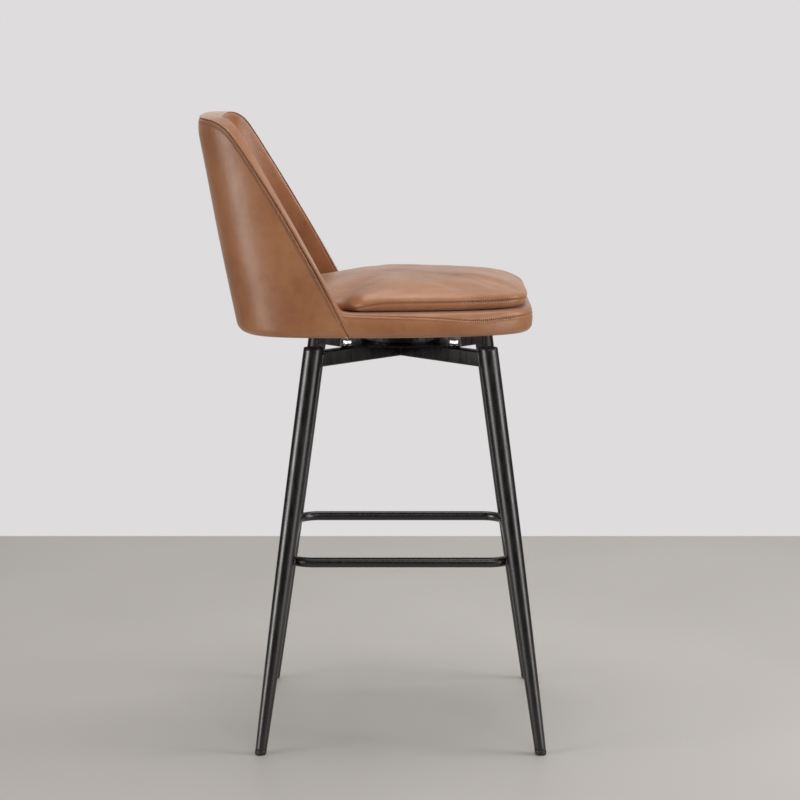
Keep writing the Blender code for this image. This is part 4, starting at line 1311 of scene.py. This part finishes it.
@dataclass
class SeatStitches:
    """Top-stitching beside the outer seam and along the tub's seam."""

    form: SeatForm
    strip: BorderStrip
    pitch: float = 4.8 * MM
    length: float = 3.9 * MM
    radius: float = 0.5 * MM
    from_seam: float = 4.6 * MM
    row_gap: float = 2.6 * MM
    below_seam: float = 2.6 * MM

    def outer_rows(self) -> list[np.ndarray]:
        """Rows on the outer cover, beside its seam.

        Returns:
            Two rows of points.
        """
        form = self.form
        turn = form.turns_to(form.turn_where(form.seam, form.bottom + 9 * MM))
        stretch = form.steepness(turn)
        rows = []
        for away in (self.from_seam, self.from_seam + self.row_gap):
            z = np.maximum(form.seam(turn) - away * stretch, form.bottom + 2 * MM)
            under = np.maximum(form.edge_radius - (z - form.bottom), 0)
            edge = form.edge_radius - np.sqrt(form.edge_radius**2 - under**2)
            tall = smooth_step(form.seam(turn) - form.bottom, 0.02, 0.2)
            rows.append(form.inset(turn, z, edge + 0.25 * MM - 0.35 * MM * tall))
        return rows

    def tub_rows(self) -> list[np.ndarray]:
        """One row just under the tub's seam.

        Returns:
            The row's points.
        """
        form = self.form
        start = form.turn_where(form.rim, form.deck + 2 * MM) + 0.02
        half = form.half_turns[form.half_turns > start]
        turn = np.concatenate([half, TAU - half[-2::-1]])
        return [self.strip.seam_path(turn, self.below_seam)]

    def build(self, maker: PieceMaker, repeat: RepeatTree) -> None:
        """Sew the rows.

        Args:
            maker: Makes and dresses the pieces.
            repeat: Repeats a small mesh along paths or at points.
        """
        pattern = stitch_pattern(self.length, self.radius)
        material = maker.finishes.made[maker.finishes.thread]
        for name, rows in (("cover_stitches", self.outer_rows()), ("tub_stitches", self.tub_rows())):
            mesh = repeat.copies(rows, pattern, material, self.pitch)
            maker.piece(name, mesh, maker.finishes.thread, Body.SEAT, sharp=80)


@dataclass
class Underside:
    """Dust cover under the seat, stapled round its edge."""

    form: SeatForm
    edge_depth: float = 0.0262
    staple_inset: float = 6 * MM
    staple_pitch: float = 0.028
    staple_width: float = 0.010
    wire: float = 0.55 * MM

    def staple(self) -> bpy.types.Mesh:
        """The crown of one staple, with its legs going up into the board.

        Returns:
            Its mesh.
        """
        half, wire = self.staple_width / 2, self.wire
        line = smooth_line(
            [(-half, 0, 1.5 * MM), (-half, 0, 0.3 * MM), (-half * 0.85, 0, 0), (0, 0, 0), (half * 0.85, 0, 0),
             (half, 0, 0.3 * MM), (half, 0, 1.5 * MM)], 19,
        )
        square = ((1, -1), (1, 1), (-1, 1), (-1, -1))
        points = [(float(p[0]), wire * c, float(p[2]) + wire * s) for p in line for c, s in square]
        mesh = bpy.data.meshes.new("staple")
        faces = [
            (4 * k + a, 4 * k + (a + 1) % 4, 4 * k + 4 + (a + 1) % 4, 4 * k + 4 + a)
            for k in range(len(line) - 1) for a in range(4)
        ]
        faces += [(3, 2, 1, 0), tuple(4 * len(line) - 4 + a for a in range(4))]
        mesh.from_pydata(points, [], faces)
        return mesh

    def build(self, maker: PieceMaker, repeat: RepeatTree) -> None:
        """Lay the cloth and staple it.

        Args:
            maker: Makes and dresses the pieces.
            repeat: Repeats a small mesh along paths or at points.
        """
        form = self.form
        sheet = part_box("dust_cover")
        turn = np.arange(240) * TAU / 240
        edge = form.inset(turn, form.bottom, self.edge_depth)
        middle = edge.mean(0)
        levels = smooth_line(
            [(0.97, 1.0), (0.3, 1.0), (0.02, 1.0), (0.0, 0.4), (0.02, 0.0), (0.3, 0.0), (0.97, 0.0)], 40
        )
        rows = []
        for share, rise in levels:
            ring = edge + (middle - edge) * share
            ring[:, 2] = sheet[0].z + (sheet[1].z - sheet[0].z) * rise
            if rise < 0.5:
                ring[:, 2] += 0.25 * MM * ripple(ring, 0.02, 41) * smooth_step(share, 0.0, 0.15)
            rows.append(ring)
        mesh = maker.grid(np.stack(rows, 1), wrap_rows=False)
        maker.piece("dust_cloth", mesh, maker.finishes.cloth, Body.SEAT, "dust_cover")
        path = form.inset(turn, form.bottom - 0.35 * MM, self.edge_depth + self.staple_inset)
        staples = repeat.copies(
            [path], self.staple(), maker.finishes.made[maker.finishes.zinc], self.staple_pitch, closed=True
        )
        maker.piece("staples", staples, maker.finishes.zinc, Body.SEAT)


# ---------------------------------------------------------------- base
@dataclass
class SplayedLeg:
    """A tapered round tube that leans outwards, with its cap and glide."""

    corner: str
    top_radius: float = 0.0154
    foot_radius: float = 0.0089
    taper_power: float = 2.2
    sides: int = 56

    def __post_init__(self) -> None:
        """Find the leg's axis from its foot's mount and its cap."""
        mount = next(m for m in frame["record"]["mounts"] if m["name"] == f"foot_{self.corner}")
        low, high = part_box(f"leg_cap_{self.corner}")
        self.foot = Vector(mount["pos_m"])
        self.top = Vector(((low.x + high.x) / 2, (low.y + high.y) / 2, high.z))
        self.tube_low, self.tube_high = (corner.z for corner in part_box(f"leg_{self.corner}"))
        self.glide_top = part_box(f"foot_glide_{self.corner}")[1].z

    def centre(self, z: float) -> Vector:
        """The axis at a height."""
        share = z / self.top.z
        return Vector((*(self.foot + (self.top - self.foot) * share).xy, z))

    def radius(self, z: float) -> float:
        """The tube's outer radius at a height."""
        low = max(0.0, 1 - z / self.top.z)
        return self.top_radius - (self.top_radius - self.foot_radius) * low**self.taper_power

    def turned(self, profile: Sequence[tuple[float, float]]) -> np.ndarray:
        """Level rings about the leaning axis, longer along the lean.

        Args:
            profile: Radius and height of each ring.

        Returns:
            Sides by rings by XYZ.
        """
        lean = self.top - self.foot
        along = Vector((lean.x, lean.y, 0)).normalized()
        across = Vector((-along.y, along.x, 0))
        stretch = lean.length / lean.z
        angle = np.arange(self.sides) * TAU / self.sides
        rings = []
        for radius, z in profile:
            ring = np.outer(np.cos(angle) * radius * stretch, along) + np.outer(np.sin(angle) * radius, across)
            rings.append(ring + np.array(self.centre(z)))
        return np.stack(rings, 1)

    def build(self, maker: PieceMaker) -> None:
        """Turn the tube, its cap and its glide.

        Args:
            maker: Makes and dresses the pieces.
        """
        finishes = maker.finishes
        low, high = self.tube_low, self.tube_high
        ease = 0.8 * MM
        foot = self.radius(low)
        profile = [(foot - 1.5 * MM, low), (foot - ease / 2, low), (foot, low + ease)]
        profile += [(self.radius(z), z) for z in np.linspace(low + 2 * ease, high - 2 * ease, 40)]
        profile += [
            (self.top_radius, high - ease), (self.top_radius - 0.2 * ease, high - 0.35 * ease),
            (self.top_radius - 0.6 * ease, high), (self.top_radius - 1.5 * MM, high),
        ]
        tube = maker.grid(self.turned(profile), wrap_rows=False)
        maker.piece(f"{self.corner}_leg_tube", tube, finishes.coat, Body.BASE, f"leg_{self.corner}")

        edge, top = self.top_radius, self.top.z
        rim = [(edge - 2.5 * MM, high - 6 * MM), (edge - 2.5 * MM, high + 0.3 * MM), (edge, high + 0.4 * MM)]
        rim += [
            (edge - 1.3 * MM * (1 - math.cos(a)), top - 1.1 * MM * (1 - math.sin(a)))
            for a in np.linspace(0, math.pi / 2, 6)
        ]
        cap = maker.grid(self.turned(rim), wrap_rows=False)
        maker.piece(f"{self.corner}_leg_plug", cap, finishes.plastic, Body.BASE, f"leg_cap_{self.corner}")

        floor, chamfer = 0.0, 3 * MM
        sole = [(foot - chamfer - 1 * MM, floor + 0.25 * MM), (foot - chamfer, floor)]
        sole += [
            (foot - chamfer * (1 - math.sin(a)), floor + chamfer * 1.2 * (1 - math.cos(a)))
            for a in np.linspace(0.2, math.pi / 2, 8)
        ]
        sole += [(foot, low - 0.9 * MM), (foot - 0.4 * MM, low - 0.4 * MM), (foot - 2 * MM, low - 0.4 * MM)]
        sole += [(foot - 2 * MM, self.glide_top)]
        glide = maker.grid(self.turned(sole), wrap_rows=False)
        maker.piece(f"{self.corner}_glide", glide, finishes.plastic, Body.BASE, f"foot_glide_{self.corner}")


@dataclass
class Footrest:
    """The bent round tube inside the legs, with its four weld beads."""

    legs: dict[str, SplayedLeg]
    bend: float = 0.039
    bead: float = 2.3 * MM
    weld_size: tuple[float, float] = (7.0 * MM, 5.6 * MM)    # half width and half height

    def __post_init__(self) -> None:
        """Read the tube's size and place from the frame."""
        low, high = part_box("footrest_ring")
        self.radius = (high.z - low.z) / 2
        self.height = (high.z + low.z) / 2
        self.middle = Vector(((low.x + high.x) / 2, (low.y + high.y) / 2, self.height))
        self.half = (high.y - low.y) / 2 - self.radius

    def path(self) -> np.ndarray:
        """Centre line: straight rails and round corners.

        Returns:
            Points of the line.
        """
        points = []
        for quarter in range(4):
            start = quarter * math.pi / 2
            sx, sy = ((1, 1), (-1, 1), (-1, -1), (1, -1))[quarter]
            for angle in np.linspace(start, start + math.pi / 2, 22):
                x = sx * (self.half - self.bend) + self.bend * math.cos(angle)
                y = sy * (self.half - self.bend) + self.bend * math.sin(angle)
                points.append((self.middle.x + x, self.middle.y + y, self.height))
        return np.array(points)

    def weld(self, leg: SplayedLeg) -> np.ndarray:
        """A ring of weld where the tube's corner meets a leg.

        Args:
            leg: The leg that it meets.

        Returns:
            Points of the ring.
        """
        out = Vector((leg.foot.x - self.middle.x, leg.foot.y - self.middle.y, 0)).normalized()
        across = Vector((-out.y, out.x, 0))
        lean = leg.top - leg.foot
        up = lean.normalized()
        touch = leg.centre(self.height) - out * (leg.radius(self.height) * lean.length / lean.z - 0.2 * MM)
        angle = np.linspace(0, TAU, 64, endpoint=False)
        wide, tall = self.weld_size
        ring = [
            touch + across * (wide * math.cos(a)) + up * (tall * math.sin(a))
            + out * (1.5 * MM * math.cos(a) ** 2 - 1.2 * MM * math.sin(a) ** 2)
            for a in angle
        ]
        return np.array(ring)

    def build(self, maker: PieceMaker) -> None:
        """Sweep the ring and lay the beads.

        Args:
            maker: Makes and dresses the pieces.
        """
        ring = maker.tube(self.path(), self.radius, 40, closed=True)
        maker.piece("footrest_tube", ring, maker.finishes.coat, Body.BASE, "footrest_ring")
        for seed, (corner, leg) in enumerate(self.legs.items()):
            path = self.weld(leg)
            lumps = self.bead * (1 + 0.16 * np.sin(np.arange(64) * TAU * 13 / 64 + seed))
            bead = maker.tube(path, lumps, 12, closed=True)
            maker.piece(f"{corner}_footrest_weld", bead, maker.finishes.coat, Body.BASE)


@dataclass
class CrossBars:
    """Rectangular tubes under the swivel: a whole one and two halves, with their welds."""

    legs: dict[str, SplayedLeg]
    corner_radius: float = 2.4 * MM
    half_width: float = 0.010
    half_start: float = 0.0103         # of the half bars, from the axis
    fillet_reach: float = 0.0148
    fillet: float = 2.0 * MM
    bead: float = 1.9 * MM

    def __post_init__(self) -> None:
        """Read the bars' height and the swivel's axis from the frame."""
        low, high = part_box("cross_bar")
        self.low, self.high = low.z, high.z
        self.axis = Vector(((low.x + high.x) / 2, (low.y + high.y) / 2, 0))

    def section(self) -> np.ndarray:
        """Rounded rectangle, across and up from the bar's middle.

        Returns:
            Points, as across and up.
        """
        half, rise, r = self.half_width, (self.high - self.low) / 2, self.corner_radius
        points = []
        for quarter, (sx, sy) in enumerate(((1, 1), (-1, 1), (-1, -1), (1, -1))):
            for angle in np.linspace(quarter * math.pi / 2, (quarter + 1) * math.pi / 2, 7):
                points.append((sx * (half - r) + r * math.cos(angle), sy * (rise - r) + r * math.sin(angle)))
        return np.array(points)

    def bar(self, start: float, leg: SplayedLeg) -> np.ndarray:
        """Sections of a bar from near the axis to inside a leg's tube.

        Args:
            start: Distance of the first section from the axis.
            leg: The leg that it meets.

        Returns:
            Sections by points by XYZ.
        """
        middle_z = (self.low + self.high) / 2
        end = leg.centre(middle_z)
        along = Vector((end.x - self.axis.x, end.y - self.axis.y, 0))
        reach = along.length - 0.35 * leg.radius(middle_z)
        along.normalize()
        across = Vector((-along.y, along.x, 0))
        section = self.section()
        rings = []
        for distance in np.linspace(start, reach, 24):
            centre = self.axis + along * distance
            rings.append([
                (centre.x + across.x * a, centre.y + across.y * a, middle_z + b) for a, b in section
            ])
        return np.array(rings)

    def leg_weld(self, leg: SplayedLeg) -> np.ndarray:
        """The bead round a bar's end, lying on the leg's wall.

        Args:
            leg: The leg that it meets.

        Returns:
            Points of the loop.
        """
        middle_z = (self.low + self.high) / 2
        end = leg.centre(middle_z)
        along = Vector((end.x - self.axis.x, end.y - self.axis.y, 0)).normalized()
        across = Vector((-along.y, along.x, 0))
        lean = leg.top - leg.foot
        points = []
        corner = smooth_line([(*p,) for p in np.vstack([self.section(), self.section()[:1]])], 97)[:-1]
        for a, b in corner:
            z = middle_z + b * 1.02
            centre = leg.centre(z)
            radius = leg.radius(z) * lean.length / lean.z
            back = math.sqrt(max(radius**2 - a * a, 0.0))
            place = centre - along * (back + 0.3 * MM) + across * a * 1.05
            points.append((place.x, place.y, z))
        return np.array(points)

    def build(self, maker: PieceMaker) -> None:
        """Sweep the bars and lay their beads.

        Args:
            maker: Makes and dresses the pieces.
        """
        coat = maker.finishes.coat
        legs = self.legs
        first = self.bar(0.0, legs["front_left"])
        second = self.bar(0.0, legs["rear_right"])
        mirror = second[:, np.argmin(np.linalg.norm(second[0][:, None] - first[0][None], axis=-1), axis=0)]
        whole = np.concatenate([mirror[::-1], first[1:]])
        maker.piece("whole_bar", maker.grid(whole, wrap_columns=False), coat, Body.BASE, "cross_bar")
        for corner in ("rear_left", "front_right"):
            half = self.bar(self.half_start, legs[corner])
            maker.piece(f"{corner}_bar", maker.grid(half, wrap_columns=False), coat, Body.BASE, f"half_bar_{corner}")
        for seed, (corner, leg) in enumerate(legs.items()):
            path = self.leg_weld(leg)
            lumps = self.bead * (1 + 0.15 * np.sin(np.arange(len(path)) * TAU * 21 / len(path) + seed))
            maker.piece(f"{corner}_bar_weld", maker.tube(path, lumps, 10, closed=True), coat, Body.BASE)
        self.crossing(maker)

    def crossing(self, maker: PieceMaker) -> None:
        """Upright fillets in the four corners where the bars cross.

        Args:
            maker: Makes and dresses the pieces.
        """
        parts = []
        for k in range(4):
            angle = k * math.pi / 2
            x = self.axis.x + math.cos(angle) * self.fillet_reach
            y = self.axis.y + math.sin(angle) * self.fillet_reach
            z = np.linspace(self.low + 2 * MM, self.high - 2 * MM, 60)
            path = np.stack([np.full_like(z, x), np.full_like(z, y), z], -1)
            lumps = self.fillet * (1 + 0.15 * np.sin(np.arange(60) * TAU * 7 / 60 + k))
            parts.append(maker.tube(path, lumps, 10, closed=False))
        builder = bmesh.new()
        for mesh in parts:
            builder.from_mesh(mesh)
        joined = bpy.data.meshes.new("crossing")
        builder.to_mesh(joined)
        builder.free()
        maker.piece("crossing_welds", joined, maker.finishes.coat, Body.BASE)


@dataclass
class FlangeBolt:
    """A flanged hexagon bolt's head and shank, with the chamfers of a forged head."""

    hexagon: float
    head: float
    flange: float
    shank: float
    length: float

    def mesh(self, up: int) -> bpy.types.Mesh:
        """The bolt, its flange's seat at the origin.

        Args:
            up: 1 if the head points up, -1 if it points down.

        Returns:
            Its mesh.
        """
        sides = 72
        angle = np.arange(sides) * TAU / sides
        flat = self.hexagon / 2 / np.cos((angle + math.pi / 6) % (math.pi / 3) - math.pi / 6)
        point = self.hexagon / math.sqrt(3)
        flange_top = 1.1 * MM
        cone = flange_top + (self.flange - self.hexagon / 2) * 0.55
        rows = [
            (np.full(sides, self.shank * 0.8), -self.length), (np.full(sides, self.shank), -self.length + 1 * MM),
            (np.full(sides, self.shank), 0.0), (np.full(sides, self.flange - 0.2 * MM), 0.0),
            (np.full(sides, self.flange), 0.25 * MM), (np.full(sides, self.flange), flange_top * 0.8),
            (np.full(sides, self.flange - 0.3 * MM), flange_top), (flat * 1.02, cone),
            (flat, cone + 0.3 * MM), (flat, self.head - 1.0 * MM),
            (np.minimum(flat, point * 0.955), self.head - 0.45 * MM),
            (np.full(sides, self.hexagon / 2 * 0.97), self.head - 0.1 * MM),
            (np.full(sides, self.hexagon / 2 * 0.88), self.head), (np.full(sides, self.hexagon / 2 * 0.6), self.head),
            (np.full(sides, self.hexagon / 2 * 0.5), self.head - 0.35 * MM),
        ]
        points = np.stack(
            [np.stack([r * np.cos(angle), r * np.sin(angle), np.full(sides, up * z)], -1) for r, z in rows], 1
        )
        return PieceMaker.grid(points, wrap_rows=False)


@dataclass
class Fasteners:
    """The bolts of the lower plate and of the seat."""

    def spots(self, kind: str, high: bool) -> np.ndarray:
        """Where each bolt's flange sits.

        Args:
            kind: Start of the bolts' names.
            high: Take the bolts' tops, or else their undersides.

        Returns:
            A point for each corner.
        """
        points = []
        for corner in SIDES:
            low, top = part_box(f"{kind}_{corner}")
            points.append(((low.x + top.x) / 2, (low.y + top.y) / 2, top.z if high else low.z))
        return np.array(points)

    def build(self, maker: PieceMaker, repeat: RepeatTree) -> None:
        """Set both groups of bolts.

        Args:
            maker: Makes and dresses the pieces.
            repeat: Repeats a small mesh along paths or at points.
        """
        zinc = maker.finishes.made[maker.finishes.zinc]
        for kind, body, up, sizes in (
            ("plate_bolt", Body.BASE, 1, FlangeBolt(0.013, 0.008, 0.009, 0.004, 0.013)),
            ("seat_bolt", Body.SEAT, -1, FlangeBolt(0.010, 0.0055, 0.007, 0.003, 0.018)),
        ):
            spots = self.spots(kind, up > 0)
            spots[:, 2] -= up * sizes.head
            mesh = repeat.copies([spots], sizes.mesh(up), zinc)
            nodes = [f"{kind}_{corner}" for corner in SIDES]
            maker.piece(f"{kind}s", mesh, maker.finishes.zinc, body, *nodes, sharp=32)


# ---------------------------------------------------------------- the studio
@dataclass
class Studio:
    """A pale floor, soft lights and the camera."""

    axis_x: float
    camera_height: float = 1.193
    camera_distance: float = 4.0
    pitch: float = 9.32                # degrees below level
    lens: float = 110.5
    floor_half: float = 1.386
    glow: float = 0.06
    windows: tuple = (                 # direction, sharpness and strength of each bright side
        ((-0.88, -0.47, 0.12), 36.0, 11.0), ((0.87, -0.49, 0.12), 36.0, 7.0), ((0.0, 1.0, 0.12), 6.0, 0.8),
        ((0.0, 0.1, 1.0), 4.0, 0.5),
    )

    def floor(self) -> None:
        """A plain, slightly uneven pale floor."""
        # A faintly clouded matt floor, which keeps the broad pale ground from looking flat.
        paint = PatchyFinish("pale_floor", "", Pattern(0.5), ((0.3, "#c1bdb8"), (0.7, "#c7c3be")), 0.55)
        half = self.floor_half
        mesh = bpy.data.meshes.new("floor")
        mesh.from_pydata([(-half, -half, 0), (half, -half, 0), (half, half, 0), (-half, half, 0)], [], [(0, 1, 2, 3)])
        mesh.materials.append(paint.material())
        floor = bpy.data.objects.new("floor", mesh)
        floor.location = (self.axis_x, 0, -0.2 * MM)
        bpy.context.scene.collection.objects.link(floor)

    def world(self) -> None:
        """A pale surround that lights the stool more softly than it looks."""
        world = bpy.data.worlds.new("studio")
        world.use_nodes = True
        tree = world.node_tree
        tree.nodes.clear()
        way = add_node(tree, "ShaderNodeTexCoord").outputs["Generated"]

        def window(aim: Sequence[float], power: float, strength: float) -> bpy.types.NodeSocket:
            """A soft bright patch of the surround, in one direction.

            Args:
                aim: Its direction.
                power: Sharpness.
                strength: Its brightness.

            Returns:
                Its brightness.
            """
            facing = add_node(
                tree, "ShaderNodeVectorMath", {0: way, 1: tuple(Vector(aim).normalized())}, operation="DOT_PRODUCT"
            ).outputs["Value"]
            lit = add_node(tree, "ShaderNodeMath", {0: facing, 1: 0.0}, operation="MAXIMUM").outputs[0]
            lobe = add_node(tree, "ShaderNodeMath", {0: lit, 1: power}, operation="POWER").outputs[0]
            return add_node(tree, "ShaderNodeMath", {0: lobe, 1: strength}, operation="MULTIPLY").outputs[0]

        total = self.glow
        for patch in self.windows:
            total = add_node(tree, "ShaderNodeMath", {0: total, 1: window(*patch)}, operation="ADD").outputs[0]
        seen = add_node(tree, "ShaderNodeBackground", {"Color": linear("#dedcdd"), "Strength": 1.0})
        glow = add_node(tree, "ShaderNodeBackground", {"Color": linear("#fbf8f5"), "Strength": total})
        ray = add_node(tree, "ShaderNodeLightPath").outputs["Is Camera Ray"]
        mixed = add_node(tree, "ShaderNodeMixShader", {0: ray, 1: glow.outputs[0], 2: seen.outputs[0]})
        add_node(tree, "ShaderNodeOutputWorld", {"Surface": mixed.outputs[0]})
        bpy.context.scene.world = world

    def light(
        self, name: str, place: Sequence[float], size: Sequence[float], power: float, aim: Sequence[float]
    ) -> None:
        """Hang one softbox.

        Args:
            name: Its name.
            place: Where it hangs, from the swivel's axis.
            size: Width and height.
            power: Watts.
            aim: The point that it faces.
        """
        lamp = bpy.data.lights.new(name, "AREA")
        lamp.shape = "RECTANGLE"
        lamp.size, lamp.size_y = size
        lamp.energy = power
        obj = bpy.data.objects.new(name, lamp)
        obj.location = (self.axis_x + place[0], place[1], place[2])
        facing = Vector(aim) + Vector((self.axis_x, 0, 0)) - obj.location
        obj.rotation_euler = facing.to_track_quat("-Z", "Y").to_euler()
        bpy.context.scene.collection.objects.link(obj)

    def camera(self) -> None:
        """Stand the camera level with the seat, looking a little down."""
        camera = bpy.data.cameras.new("camera")
        camera.lens = self.lens
        camera.clip_end = 60
        obj = bpy.data.objects.new("camera", camera)
        obj.location = (self.axis_x - 1.1 * MM, -self.camera_distance, self.camera_height)
        obj.rotation_euler = (math.radians(90 - self.pitch), 0, 0)
        bpy.context.scene.collection.objects.link(obj)
        bpy.context.scene.camera = obj

    def build(self) -> None:
        """Set up the whole studio."""
        self.floor()
        self.world()
        self.light("key_softbox", (0.9, -3.0, 2.5), (1.4, 1.4), 17, (0, 0, 0.6))
        self.light("front_softbox", (3.0, -0.4, 2.0), (1.3, 1.3), 34, (0, 0, 0.8))
        self.light("overhead_softbox", (0.1, 0.2, 3.0), (2.4, 2.4), 36, (0, 0, 0.5))
        bpy.context.scene.view_settings.view_transform = "Standard"
        self.camera()


# ---------------------------------------------------------------- the whole stool
@dataclass
class Upholstery:
    """Everything soft that turns with the seat."""

    form: SeatForm

    def build(self, maker: PieceMaker, repeat: RepeatTree) -> None:
        """Make the cover, pads, strip, deck, cushion, stitches and dust cloth.

        Args:
            maker: Makes and dresses the pieces.
            repeat: Repeats a small mesh along paths or at points.
        """
        strip = BorderStrip(self.form)
        strip.build(maker)
        OuterCover(self.form, strip).build(maker)
        InnerPad(self.form).build(maker)
        TubDeck(self.form).build(maker)
        SeatCushion(self.form).build(maker)
        SeatStitches(self.form, strip).build(maker, repeat)
        Underside(self.form).build(maker, repeat)


@dataclass
class Base:
    """The welded steel base on its four legs."""

    def build(self, maker: PieceMaker) -> None:
        """Make the legs, the footrest and the cross bars.

        Args:
            maker: Makes and dresses the pieces.
        """
        legs = {corner: SplayedLeg(corner) for corner in SIDES}
        for leg in legs.values():
            leg.build(maker)
        Footrest(legs).build(maker)
        CrossBars(legs).build(maker)


def dress_carried_nodes(maker: PieceMaker) -> None:
    """Give every CAD node that stays its material.

    Args:
        maker: Makes and dresses the pieces.
    """
    slots = {entry["node"]: entry["material_slot"] for entry in frame["record"]["subparts"]}
    for name, obj in frame["nodes"].items():
        obj.data.materials.clear()
        obj.data.materials.append(maker.finishes.by_slot(slots[name]))


def main() -> None:
    """Build the studio and every piece, in order."""
    logging.basicConfig(level=logging.INFO, format="%(name)s: %(message)s")
    form = SeatForm()
    Studio(form.axis_x).build()
    maker = PieceMaker(Finishes())
    along, at_points = RepeatTree(True), RepeatTree(False)
    Upholstery(form).build(maker, along)
    Base().build(maker)
    Fasteners().build(maker, at_points)
    dress_carried_nodes(maker)


if __name__ == "__main__":
    main()
